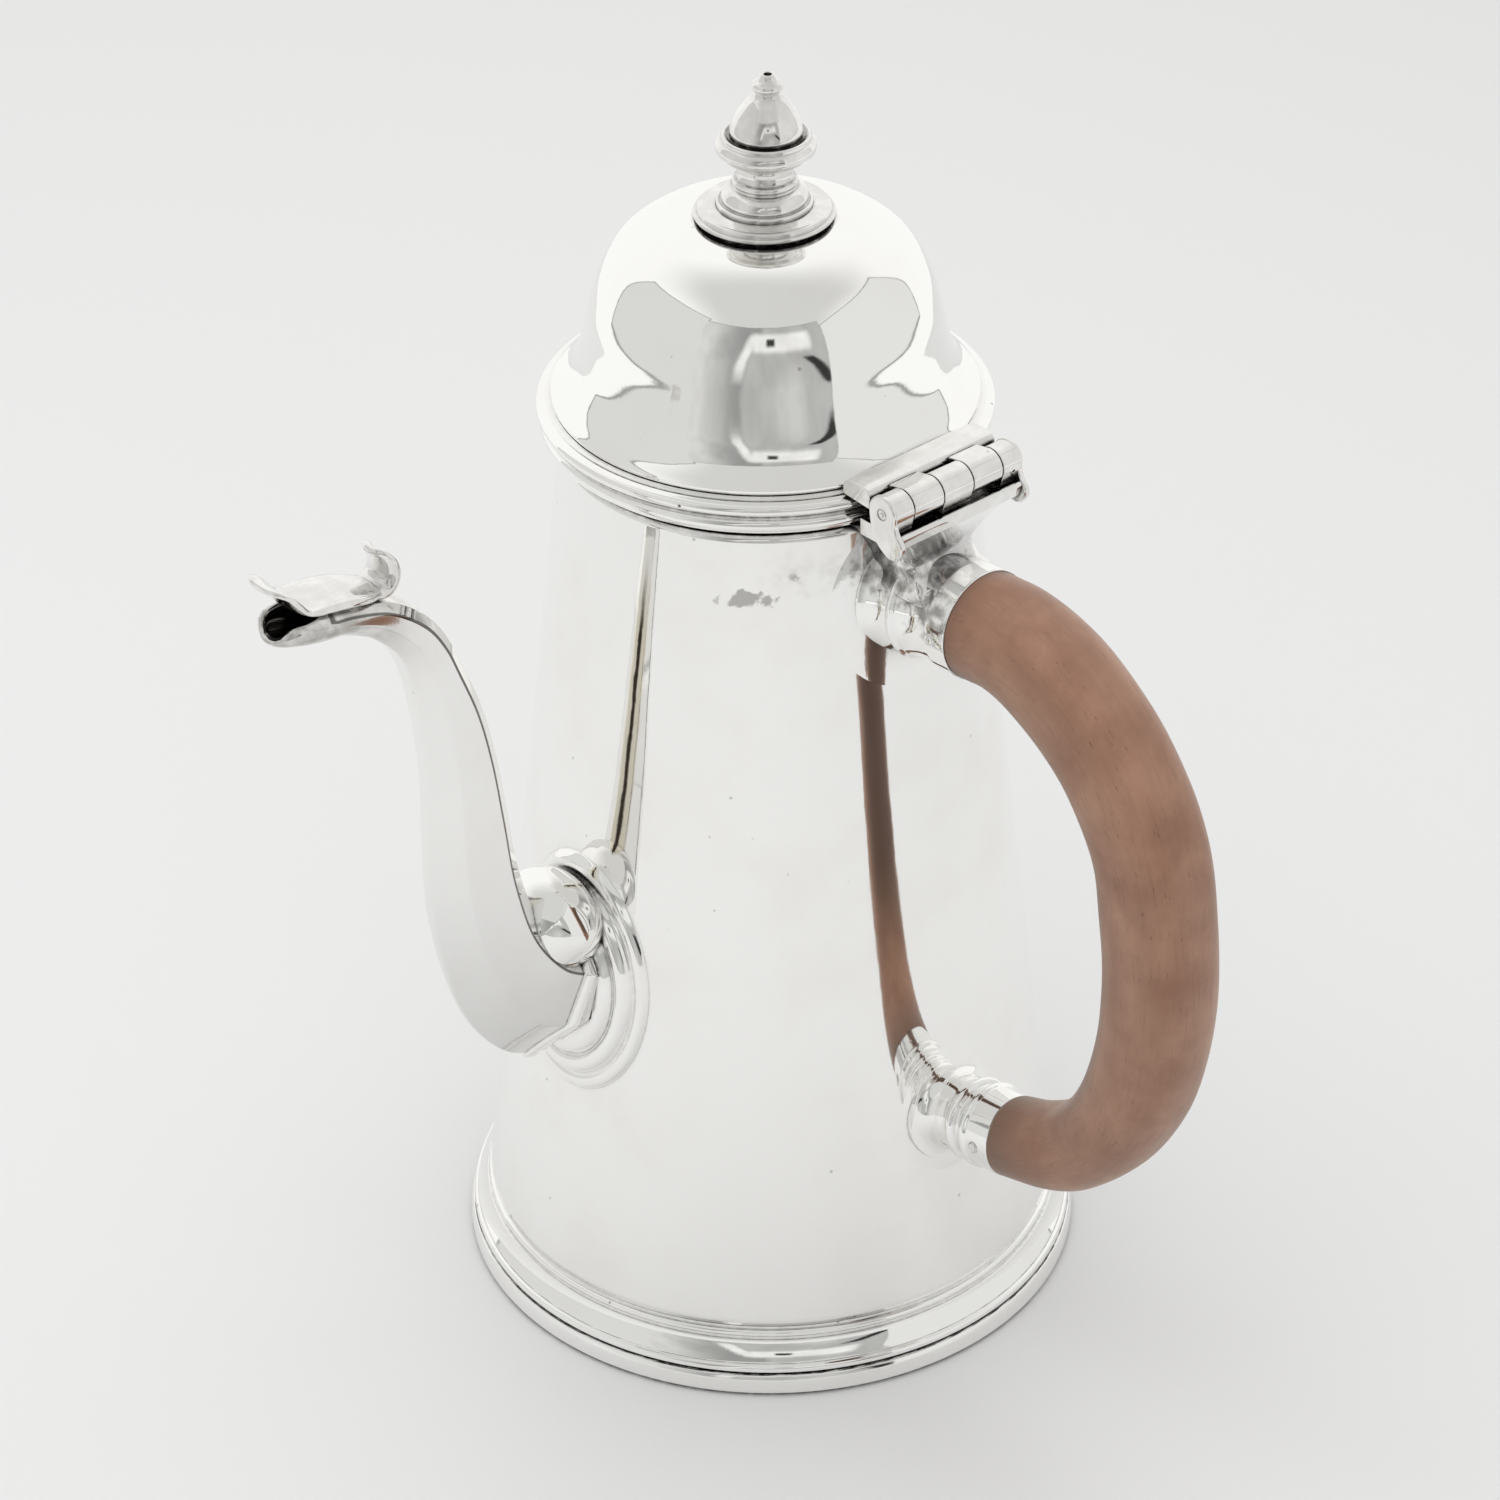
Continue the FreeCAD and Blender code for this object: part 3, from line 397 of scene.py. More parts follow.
def silver_wear_and_shade():
    """Tarnish in the seams, tarnish with painted shade in the nooks, pits, fine polishing scratches and a cloudy
    bloom.
    """
    group, source, sink = new_group(
        "silver_wear_and_shade",
        [("Seam Depth", FLOAT, 1.1), ("Seam Tarnish", FLOAT, 1.0),
         ("Nook Depth", FLOAT, 5.0), ("Nook Tarnish", FLOAT, 0.0),
         ("Pits", FLOAT, 0.5), ("Bloom", FLOAT, 0.3), ("Dulling", FLOAT, 0.0)],
        [("Color", COLOR), ("Roughness", FLOAT), ("Height", FLOAT)],
    )
    spot = put(group, "ShaderNodeTexCoord", (-1200, -300)).outputs["Object"]
    ragged = spread(group, cloud(group, spot, 700.0), 0.25, 0.6, 0.45, 1.0)

    def sheltered(depth, start, full, amount):
        """How far a point is shut in by metal within a depth, in millimetres."""
        reach = product(group, source.outputs[depth], MM)
        shade = put(group, "ShaderNodeAmbientOcclusion", samples=6, in_Distance=reach)
        found = spread(group, shade.outputs["AO"], start, full)
        return product(group, found, ragged, source.outputs[amount])

    seam = sheltered("Seam Depth", 0.8, 0.42, "Seam Tarnish")
    # Painted shade with tarnish: wherever other metal shuts a point in within the nook depth, it is darkened to
    # a tarnished grey.
    nook_tarnish_and_shade = sheltered("Nook Depth", 0.8, 0.3, "Nook Tarnish")
    cells = put(group, "ShaderNodeTexVoronoi", in_Vector=spot, in_Scale=170.0)
    pit = spread(group, cells.outputs["Distance"], 0.075, 0.03)
    rare = spread(group, cloud(group, spot, 60.0, 1.0), 0.5, 0.6)
    pit = product(group, pit, rare, source.outputs["Pits"])
    haze = spread(group, cloud(group, spot, 45.0, 4.0, 0.6), 0.42, 0.75)
    haze = product(group, haze, source.outputs["Bloom"])
    dull = spread(group, cloud(group, spot, 240.0, 3.0, 0.6), 0.3, 0.62, 0.3, 1.0)
    dull = product(group, dull, source.outputs["Dulling"])
    dark = maths(group, "MAXIMUM", seam, pit)
    color = BRIGHT_SILVER
    rough = POLISHED
    for amount, shade, added in ((haze, CLOUDED, 0.09), (dull, DULLED, 0.16), (nook_tarnish_and_shade, TARNISH_AND_SHADE, 0.12),
                                 (dark, BLACKENED, 0.35)):
        color = blend_colors(group, amount, color, shade)
        rough = maths(group, "MULTIPLY_ADD", amount, added, rough)
    group.links.new(color, sink.inputs["Color"])
    group.links.new(rough, sink.inputs["Roughness"])
    stretched = put(group, "ShaderNodeMapping", in_Vector=spot, in_Scale=(2400.0, 2400.0, 240.0))
    scratch = cloud(group, stretched.outputs[0], 1.0, 2.0)
    wave = cloud(group, spot, 320.0, 2.0)
    height = maths(group, "MULTIPLY_ADD", scratch, 0.12, product(group, wave, 0.5))
    height = maths(group, "MULTIPLY_ADD", pit, -3.0, height)
    group.links.new(height, sink.inputs["Height"])
    return group


def patterned(name, pattern, relief):
    """A material whose colour, roughness and relief, in millimetres, come from a pattern's group."""
    material = bpy.data.materials.new(name)
    material.use_nodes = True
    tree = material.node_tree
    shader = tree.nodes["Principled BSDF"]
    group = tree.nodes.new("ShaderNodeGroup")
    group.node_tree = pattern
    bump = put(tree, "ShaderNodeBump", in_Strength=1.0, in_Distance=relief * MM)
    tree.links.new(group.outputs["Height"], bump.inputs["Height"])
    tree.links.new(group.outputs["Color"], shader.inputs["Base Color"])
    tree.links.new(group.outputs["Roughness"], shader.inputs["Roughness"])
    tree.links.new(bump.outputs[0], shader.inputs["Normal"])
    return material, shader, group


def silver(name, relief=0.012, **settings):
    """Polished silver, with the wear and painted shade group's own values for this piece."""
    material, shader, group = patterned(name, WEAR_AND_SHADE, relief)
    shader.inputs["Metallic"].default_value = 1.0
    for label, value in settings.items():
        group.inputs[label.replace("_", " ")].default_value = value
    return material


def tarnish_and_shade_mark():
    """A blot of grey, partly tarnish and partly painted shade, ragged at its edge, laid over a colour."""
    group, source, sink = new_group(
        "tarnish_and_shade_mark",
        [("Color", COLOR, None), ("Centre", VECTOR, None), ("Closeness", VECTOR, None),
         ("Depth", FLOAT, 0.5), ("Softness", FLOAT, 0.5)],
        [("Color", COLOR)],
    )
    given = source.outputs
    edge = 0.95
    spot = put(group, "ShaderNodeTexCoord").outputs["Object"]
    far = spot
    for operation, key in (("SUBTRACT", "Centre"), ("MULTIPLY", "Closeness")):
        far = put(group, "ShaderNodeVectorMath", operation=operation, in_0=far, in_1=given[key]).outputs[0]
    far = put(group, "ShaderNodeVectorMath", operation="LENGTH", in_0=far).outputs["Value"]
    far = maths(group, "ADD", far, maths(group, "MULTIPLY_ADD", cloud(group, spot, 420.0), 2.4, -1.2))
    full = maths(group, "SUBTRACT", edge, given["Softness"])
    amount = spread(group, far, edge, full, 0.0, given["Depth"])
    group.links.new(blend_colors(group, amount, given["Color"], GREY_TARNISH_AND_SHADE), sink.inputs["Color"])
    return group


def add_marks(material, marks):
    """Lay marks of tarnish and painted shade on a silver: each is (centre, half width, half height, depth of the
    grey, softness).
    """
    tree = material.node_tree
    color = next(node for node in tree.nodes if node.type == "GROUP").outputs["Color"]
    for centre, wide, tall, depth, soft in marks:
        mark = tree.nodes.new("ShaderNodeGroup")
        mark.node_tree = MARK
        mark.inputs["Centre"].default_value = Vector(centre) * MM
        mark.inputs["Closeness"].default_value = (1 / (wide * MM), 1 / (wide * MM), 1 / (tall * MM))
        mark.inputs["Depth"].default_value = depth
        mark.inputs["Softness"].default_value = soft
        tree.links.new(color, mark.inputs["Color"])
        color = mark.outputs["Color"]
    tree.links.new(color, tree.nodes["Principled BSDF"].inputs["Base Color"])


WEAR_AND_SHADE = silver_wear_and_shade()
MARK = tarnish_and_shade_mark()
SILVER = silver("silver_polished")
# The nook settings paint shade with tarnish: below the rim, near the foot and plates, under the hinge and on the
# finial.
SILVER_BODY = silver("silver_body", relief=0.01, Pits=0.35, Bloom=0.45, Nook_Depth=7.0, Nook_Tarnish=0.6)
SILVER_CAST = silver("silver_cast", relief=0.03, Pits=0.9, Bloom=0.5, Nook_Depth=3.5, Nook_Tarnish=0.4)
SILVER_SOCKET = silver("silver_socket", relief=0.04, Pits=1.0, Bloom=0.7, Nook_Depth=9.0, Nook_Tarnish=1.0)
SILVER_HINGE = silver("silver_hinge", relief=0.04, Pits=1.0, Bloom=0.8, Nook_Depth=3.0, Nook_Tarnish=0.7,
                      Dulling=0.25)
SILVER_BEAK = silver("silver_beak", relief=0.04, Pits=1.0, Bloom=0.8, Nook_Depth=4.0, Nook_Tarnish=0.8,
                     Dulling=0.3)
SILVER_FOOT = silver("silver_foot", relief=0.02, Pits=0.8, Bloom=0.3)
SILVER_FINIAL = silver("silver_finial", relief=0.03, Pits=1.0, Bloom=0.6, Seam_Depth=1.7, Nook_Depth=5.0,
                       Nook_Tarnish=0.85, Dulling=0.3)
SILVER_INSIDE = silver("silver_inside", relief=0.02, Pits=1.0, Bloom=1.0)
# Grey blots just below the rim and on the bracket and upper socket, under the hinge: partly tarnish, partly
# painted shade from the hinge.
add_marks(SILVER_BODY, [
    ((12.0, 30.0, 161.5), 17.0, 6.0, 0.3, 1.6), ((25.0, 23.8, 157.0), 5.4, 1.9, 0.7, 0.25),
    ((17.5, 27.5, 160.6), 4.6, 1.4, 0.6, 0.4),
])
add_marks(SILVER_SOCKET, [
    ((5.0, 40.0, 161.0), 11.0, 7.0, 0.8, 0.8), ((6.0, 51.0, 157.5), 10.0, 5.0, 0.8, 0.8),
])


# ---------------------------------------------------------------- foot and body
def make_foot():
    radius = high("foot_band").x - 0.02
    band = high("foot_band").z
    inner = radius - 3.4
    turned("foot_band", [
        (inner, 0.0), (radius - 0.7, 0.0), (radius, 0.9, 14.0), (radius - 0.15, band - 1.1),
        (radius - 0.5, band - 0.25), (radius - 1.0, band - 0.1), (inner, band - 0.1),
    ], "root", ["foot_band"], SILVER_FOOT, steps=256)
    edge = BODY_BASE_RADIUS
    top = high("foot_moulding").z
    turned("foot_moulding", [
        (inner, band), (radius - 1.15, band), (radius - 0.75, band + 0.45, 1.3),
        (radius - 1.0, band + 1.5), (radius - 1.45, band + 1.7), (radius - 1.5, band + 2.1, -9.0),
        (edge + 1.75, top - 3.1), (edge + 1.65, top - 2.75), (edge + 1.2, top - 2.65),
        (edge + 1.15, top - 2.2, 0.75), (edge + 0.75, top - 0.95), (edge + 0.5, top - 0.8),
        (edge + 0.45, top - 0.4), (edge - 0.3, top - 0.1), (edge - 4.0, top), (edge - 4.0, top - 1.5),
        (inner, band + 2.0),
    ], "root", ["foot_moulding"], SILVER_FOOT, steps=256, rounding=0.14)


def make_body_tree():
    """Geometry nodes: a tapering tube of sheet, hammered a little uneven and pierced for the spout."""
    group = bpy.data.node_groups.new("tapering_body", "GeometryNodeTree")
    for label, kind, default in (
        ("Base Radius", FLOAT, 0.05), ("Top Radius", FLOAT, 0.03),
        ("Low", FLOAT, 0.0), ("High", FLOAT, 0.15), ("Wall", FLOAT, 0.001),
        ("Unevenness", FLOAT, 0.00005), ("Hole Radius", FLOAT, 0.0015),
        ("Hole Pitch", FLOAT, 0.0046), ("Hole Height", FLOAT, 0.075),
        ("Seed", FLOAT, 3.0), ("Material", "NodeSocketMaterial", None),
    ):
        item = group.interface.new_socket(label, in_out="INPUT", socket_type=kind)
        if default is not None:
            item.default_value = default
    group.interface.new_socket("Geometry", in_out="OUTPUT", socket_type="NodeSocketGeometry")
    source = put(group, "NodeGroupInput").outputs
    sink = put(group, "NodeGroupOutput")
    grid = put(group, "GeometryNodeMeshGrid", in_Size_X=1.0, in_Size_Y=1.0, in_Vertices_X=289,
               in_Vertices_Y=121)
    at = put(group, "ShaderNodeSeparateXYZ", in_Vector=put(group, "GeometryNodeInputPosition").outputs[0])
    angle = product(group, maths(group, "ADD", at.outputs["X"], 0.5), 2 * math.pi)
    up = maths(group, "ADD", at.outputs["Y"], 0.5)

    def mix(fraction, a, b):
        return maths(group, "MULTIPLY_ADD", fraction, maths(group, "SUBTRACT", b, a), a)

    def round_axis(radius, height):
        x = product(group, radius, maths(group, "COSINE", angle))
        y = product(group, radius, maths(group, "SINE", angle))
        return put(group, "ShaderNodeCombineXYZ", in_X=x, in_Y=y, in_Z=height).outputs[0]

    radius = mix(up, source["Base Radius"], source["Top Radius"])
    height = mix(up, source["Low"], source["High"])
    true_place = round_axis(radius, height)
    waves = put(group, "ShaderNodeTexNoise", noise_dimensions="4D", in_Vector=true_place,
                in_W=source["Seed"], in_Scale=42.0, in_Detail=1.5)
    edge = product(group, up, maths(group, "SUBTRACT", 1.0, up))
    quiet = spread(group, edge, 0.0, 0.03)
    wave = maths(group, "SUBTRACT", waves.outputs["Fac"], 0.5)
    wave = product(group, wave, 2.0, quiet, source["Unevenness"])
    moved = put(group, "GeometryNodeSetPosition", in_Geometry=grid.outputs["Mesh"],
                in_Position=round_axis(maths(group, "ADD", radius, wave), height))
    seamed = put(group, "GeometryNodeMergeByDistance", in_Geometry=moved.outputs[0], in_Distance=1e-6)
    outer = put(group, "GeometryNodeFlipFaces", in_Mesh=seamed.outputs[0])
    outward = put(group, "GeometryNodeInputNormal").outputs[0]
    inner = put(group, "GeometryNodeExtrudeMesh", in_Mesh=outer.outputs[0], in_Offset=outward,
                in_Offset_Scale=product(group, source["Wall"], -1.0), in_Individual=False)
    flipped = put(group, "GeometryNodeFlipFaces", in_Mesh=inner.outputs["Mesh"])
    both = put(group, "GeometryNodeJoinGeometry")
    group.links.new(outer.outputs[0], both.inputs[0])
    group.links.new(flipped.outputs[0], both.inputs[0])
    shell = put(group, "GeometryNodeMergeByDistance", in_Geometry=both.outputs[0], in_Distance=1e-6)
    drill = put(group, "GeometryNodeMeshCylinder", in_Vertices=26, in_Radius=source["Hole Radius"],
                in_Depth=0.03)
    holes = put(group, "GeometryNodeMeshGrid", in_Vertices_X=3, in_Vertices_Y=4,
                in_Size_X=product(group, source["Hole Pitch"], 2.0),
                in_Size_Y=product(group, source["Hole Pitch"], 3.0))
    drills = put(group, "GeometryNodeInstanceOnPoints", in_Points=holes.outputs["Mesh"],
                 in_Instance=drill.outputs["Mesh"])
    place = put(group, "ShaderNodeCombineXYZ", in_X=source["Base Radius"], in_Z=source["Hole Height"])
    drills = put(group, "GeometryNodeTransform", in_Geometry=drills.outputs[0],
                 in_Translation=place.outputs[0], in_Rotation=(math.pi / 2, 0.0, math.pi / 2))
    drills = put(group, "GeometryNodeRealizeInstances", in_Geometry=drills.outputs[0])
    pierced = put(group, "GeometryNodeMeshBoolean", operation="DIFFERENCE", solver="MANIFOLD",
                  in_Mesh_1=shell.outputs[0])
    group.links.new(drills.outputs[0], pierced.inputs["Mesh 2"])
    smooth = put(group, "GeometryNodeSetShadeSmooth", in_Geometry=pierced.outputs[0])
    real = put(group, "GeometryNodeRealizeInstances", in_Geometry=smooth.outputs[0])
    painted = put(group, "GeometryNodeSetMaterial", in_Geometry=real.outputs[0],
                  in_Material=source["Material"])
    group.links.new(painted.outputs[0], sink.inputs[0])
    return group


def grown(name, tree, settings, body, nodes, material):
    """Grow a piece from a geometry node tree, set by its inputs' own identifiers."""
    obj = bpy.data.objects.new(name, bpy.data.meshes.new(name + "_seed"))
    bpy.context.scene.collection.objects.link(obj)
    modifier = obj.modifiers.new(tree.name, "NODES")
    modifier.node_group = tree
    values = dict(settings, Material=material)
    for item in tree.interface.items_tree:
        if item.item_type == "SOCKET" and item.in_out == "INPUT" and item.name in values:
            modifier[item.identifier] = values[item.name]
    graph = bpy.context.evaluated_depsgraph_get()
    graph.update()
    made = bpy.data.meshes.new_from_object(obj.evaluated_get(graph))
    bpy.data.objects.remove(obj)
    made.name = name
    if not made.materials:
        made.materials.append(material)
    piece = bpy.data.objects.new(name, made)
    bpy.context.scene.collection.objects.link(piece)
    return register(piece, body, nodes)


def make_body():
    grown("body", make_body_tree(), {
        "Base Radius": BODY_BASE_RADIUS * MM, "Top Radius": BODY_TOP_RADIUS * MM,
        "Low": BODY_LOW * MM, "High": BODY_TOP * MM, "Wall": BODY_WALL * MM,
        "Unevenness": 0.09 * MM, "Hole Height": SPOUT_ROOT.z * MM,
    }, "root", ["body"], SILVER_BODY)
    plate = high("base_plate")
    turned("base_plate", [
        (0.0, BODY_LOW + 0.1), (plate.x - 0.3, BODY_LOW + 0.1), (plate.x - 0.3, plate.z), (0.0, plate.z),
    ], "root", ["base_plate"], SILVER_INSIDE)
    rim = high("body_rim").x
    turned("body_rim", [
        (MOUTH_RADIUS, BODY_TOP), (BODY_TOP_RADIUS, BODY_TOP), (BODY_TOP_RADIUS + 0.3, BODY_TOP + 0.9, -3.0),
        (rim - 1.9, BODY_TOP + 1.7), (rim - 1.7, BODY_TOP + 2.3), (rim - 1.0, BODY_TOP + 2.5, 1.35),
        (rim - 1.0, BODY_TOP + 4.8), (rim - 1.5, SPLIT), (MOUTH_RADIUS, SPLIT),
    ], "root", ["body_rim"], SILVER_CAST, steps=256)


# ---------------------------------------------------------------- lid
def make_lid():
    collar = high("lid_collar").x
    thick = 1.0
    turned("lid_collar", [
        (collar - thick, low("lid_collar").z), (collar, low("lid_collar").z),
        (collar, BEZEL_TOP), (collar - thick, BEZEL_TOP),
    ], "lid", ["lid_collar"], SILVER_INSIDE)
    edge = high("lid_bezel").x + 0.1
    bottom = low("lid_bezel").z
    turned("lid_bezel", [
        (collar, bottom), (edge - 1.0, bottom), (edge - 0.5, bottom + 0.45, 1.05),
        (edge - 1.2, bottom + 2.1), (edge - 1.9, bottom + 2.3, -1.2), (edge - 3.1, BEZEL_TOP - 0.1),
        (collar, BEZEL_TOP - 0.1),
    ], "lid", ["lid_bezel"], SILVER_CAST, steps=256)
    foot = high("lid_dome").x
    top = high("lid_dome").z
    seat = high("finial_disc").x
    wall = 1.1

    def dome(inset):
        rise = [
            (foot, BEZEL_TOP + 0.9), (foot - 0.5, BEZEL_TOP + 1.4), (foot - 1.9, BEZEL_TOP + 2.7),
            (foot - 3.1, BEZEL_TOP + 4.2), (foot - 4.1, BEZEL_TOP + 6.1), (foot - 4.85, BEZEL_TOP + 8.2),
            (foot - 6.0, BEZEL_TOP + 12.6),
            (foot - 7.1, BEZEL_TOP + 17.4), (foot - 8.8, BEZEL_TOP + 22.5), (foot - 11.3, BEZEL_TOP + 26.9),
            (foot - 14.8, top - 3.6), (foot - 19.2, top - 1.5), (seat, top - 0.45), (seat - 4.0, top - 0.15),
        ]
        line = [Vector(p) for p in smooth_line(rise, 6)]
        if not inset:
            return line
        moved = []
        for i, p in enumerate(line):
            along = line[min(i + 1, len(line) - 1)] - line[max(i - 1, 0)]
            moved.append(p - Vector((along.y, -along.x)).normalized() * inset)
        return moved

    shell = [(foot - 0.3, BEZEL_TOP), (foot, BEZEL_TOP + 0.3)]
    shell += [tuple(p) for p in dome(0.0)] + [(0.0, top - 0.1), (0.0, top - wall - 0.3)]
    shell += [tuple(p) for p in dome(wall)][::-1] + [(foot - 3.4, BEZEL_TOP)]
    turned("lid_dome", shell, "lid", ["lid_dome"], SILVER, steps=256,
           shape=lambda p: hammered(p, 0.05 * ease(p.z, BEZEL_TOP + 2, BEZEL_TOP + 8), 15.0))


LEAN = Vector((-0.022, 0.019))


def leaning(point):
    """The finial stands a hair out of true."""
    rise = max(point.z - low("finial_disc").z, 0.0)
    return Vector((point.x + LEAN.x * rise, point.y + LEAN.y * rise, point.z))


def make_finial():
    def stage(node, outline, steps=128, rounding=0.12):
        turned(node, outline, "lid", [node], SILVER_FINIAL, steps=steps, shape=leaning, rounding=rounding)

    seat = low("finial_disc").z
    disc = high("finial_disc").x - 0.2
    disc_top = high("finial_disc").z
    stage("finial_disc", [
        (0.0, seat - 0.4), (disc - 1.0, seat - 0.4), (disc - 0.9, seat + 0.1), (disc - 0.1, seat + 0.1),
        (disc, seat + 0.25, 0.42), (disc - 0.1, seat + 0.95), (disc - 0.5, seat + 1.0),
        (disc - 0.55, seat + 1.2, 0.5), (disc - 1.1, seat + 1.75), (disc - 1.4, seat + 1.7, -9.0),
        (8.3, disc_top + 0.1), (0.0, disc_top + 0.1),
    ])
    ring_low = low("finial_ring").z
    stage("finial_stem", [
        (0.0, disc_top), (8.2, disc_top), (8.2, disc_top + 0.55, 0.45), (7.6, disc_top + 1.0),
        (7.35, disc_top + 1.05, 2.5), (6.0, disc_top + 3.6), (5.5, disc_top + 3.75), (5.45, disc_top + 4.0),
        (5.4, disc_top + 4.1, 0.7), (5.35, disc_top + 5.1), (4.75, disc_top + 5.35, -4.0),
        (4.8, ring_low), (0.0, ring_low),
    ])
    ring = high("finial_ring").x + 0.55
    ring_top = high("finial_ring").z
    stage("finial_ring", [
        (0.0, ring_low), (4.9, ring_low), (5.6, ring_low + 0.35, -1.5), (6.9, ring_low + 0.75),
        (7.2, ring_low + 0.8, 1.75), (ring - 1.6, ring_top - 0.75), (ring - 1.95, ring_top - 0.7),
        (ring - 2.0, ring_top - 0.35, 0.4), (ring - 2.6, ring_top - 0.05), (ring - 3.0, ring_top - 0.2),
        (0.0, ring_top - 0.2),
    ])
    knop = high("finial_knop").x
    knop_top = high("finial_knop").z
    stage("finial_knop", [
        (0.0, ring_top - 0.4), (knop - 0.4, ring_top - 0.4), (knop - 0.1, ring_top + 0.6, 8.6),
        (knop - 2.2, ring_top + 5.2, 5.2), (knop - 3.9, knop_top - 0.5, -1.0), (2.1, knop_top + 0.3),
        (0.0, knop_top + 0.3),
    ], rounding=CORNER_ROUND)
    button = high("finial_button").x
    button_top = high("finial_button").z
    stage("finial_button", [
        (0.0, knop_top), (2.1, knop_top), (2.2, knop_top + 0.4), (button - 0.15, knop_top + 0.8, 0.8),
        (button - 0.3, knop_top + 1.9), (button - 0.8, knop_top + 2.2, -1.6), (1.3, button_top - 0.3),
        (1.05, button_top), (0.7, button_top - 0.1), (0.55, button_top - 1.0), (0.0, button_top - 1.1),
    ], steps=96, rounding=0.1)


# ---------------------------------------------------------------- hinge
def make_hinge():
    y, z, r = HINGE.y, HINGE.z, BARREL_RADIUS
    pin = (high("hinge_pin").z - low("hinge_pin").z) / 2
    rail_top = high("hinge_rail").z
    for name in ("body_knuckle_right", "body_knuckle_middle", "body_knuckle_left",
                 "lid_knuckle_right", "lid_knuckle_left"):
        start, end = low(name).x, high(name).x
        body = "lid" if name.startswith("lid") else "root"
        if body == "lid":
            shape = [(y, z - r, r), (y + r, z, r), (y, z + r), (low(name).y, z + r * 0.8),
                     (low(name).y, z - 0.6), (y - r * 0.8, z - r * 0.6, r)]
        else:
            shape = [(y + r * 0.75, rail_top), (y + r * 0.92, z - r * 0.4, r), (y, z + r, r),
                     (y - r * 0.92, z - r * 0.4), (y - r * 0.75, rail_top)]
        bar(name, shape, start + 0.04, end - 0.04, body, [name], SILVER_HINGE, edge=0.16)
    for side in (-1, 1):
        plate = [(y + r - 0.1, z, r), (y - 0.2, z + r + 0.15, r), (y - r - 0.1, z - 0.3),
                 (y - r + 0.4, z - 4.4, 9.0), (y + 0.6, z - 7.4, 2.6), (y + 4.2, z - 6.6, 2.2),
                 (y + 4.3, z - 3.7, -4.0)]
        inner, outer = side * (HINGE_HALF - 0.7), side * (HINGE_HALF + 0.45)
        bar(f"hinge_end_plate_{'left' if side > 0 else 'right'}", plate, min(inner, outer), max(inner, outer),
            "root", [], SILVER_HINGE, edge=0.35)
    head = [(pin, 0.5), (0.95, 0.65), (0.8, 0.2), (0.5, 0.2), (0.35, 0.6), (0.0, 0.6)]
    turned("hinge_pin", [
        *[(out, -HINGE_HALF - past) for out, past in head[::-1]],
        *[(out, HINGE_HALF + past) for out, past in head],
    ], "root", ["hinge_pin"], SILVER_HINGE, place=Matrix.Translation(HINGE) @ QUARTER_TURN, steps=48)
    leaf_low, leaf_high = low("lid_leaf"), high("lid_leaf")
    bar("lid_leaf", [
        (leaf_low.y, leaf_low.z), (leaf_high.y - 0.1, leaf_low.z - 0.4), (leaf_high.y, leaf_high.z - 0.7),
        (leaf_high.y - 0.5, leaf_high.z + 0.1, 9.0), (leaf_low.y + 1.4, leaf_high.z + 0.25, 2.2),
        (leaf_low.y, leaf_high.z - 0.9),
    ], leaf_low.x, leaf_high.x, "lid", ["lid_leaf"], SILVER_HINGE, edge=0.5)
    rail_low, rail_high = low("hinge_rail"), high("hinge_rail")
    bar("hinge_rail", [
        (rail_low.y, rail_low.z), (rail_high.y - 1.2, rail_low.z), (rail_high.y, rail_low.z + 1.0),
        (rail_high.y + 0.5, rail_high.z - 0.5, 0.6), (rail_high.y - 0.6, rail_high.z - 0.1),
        (y + r * 0.5, rail_high.z - 0.4), (rail_low.y, rail_high.z - 0.4),
    ], rail_low.x + 0.7, rail_high.x - 0.7, "root", ["hinge_rail"], SILVER_HINGE, edge=0.3)
    make_bracket(rail_low, rail_high)


def make_bracket(rail_low, rail_high):
    """The concave bracket: wide under the rail, drawn in to a waist, spreading on the socket."""
    top = rail_low.z + 0.3
    bottom = low("hinge_bracket").z - 1.5
    waist = 7.6
    corner = 2.6
    rings = []
    for step in range(49):
        t = step / 48
        height = top + (bottom - top) * t
        half = waist + (HINGE_HALF - 1.2 - waist) * (1 - t) ** 2.6 + 1.6 * ease(t, 0.75, 1.0)
        out = rail_high.y - 1.0 - 4.2 * math.sin(math.pi * t * 0.5) + 6.5 * ease(t, 0.45, 1.0) ** 1.5
        back = wall_radius(height) - 3.5
        ring = [Vector((-half, back, height)), Vector((half, back, height))]
        for side in (1, -1):
            for i in range(9):
                turn = math.radians(90.0 * i / 8)
                x = half - corner + corner * (math.cos(turn) if side > 0 else math.sin(turn))
                y = out - corner + corner * (math.sin(turn) if side > 0 else math.cos(turn))
                ring.append(Vector((side * x, y, height)))
        rings.append(ring)
    loft("hinge_bracket", rings, "root", ["hinge_bracket"], SILVER_SOCKET)


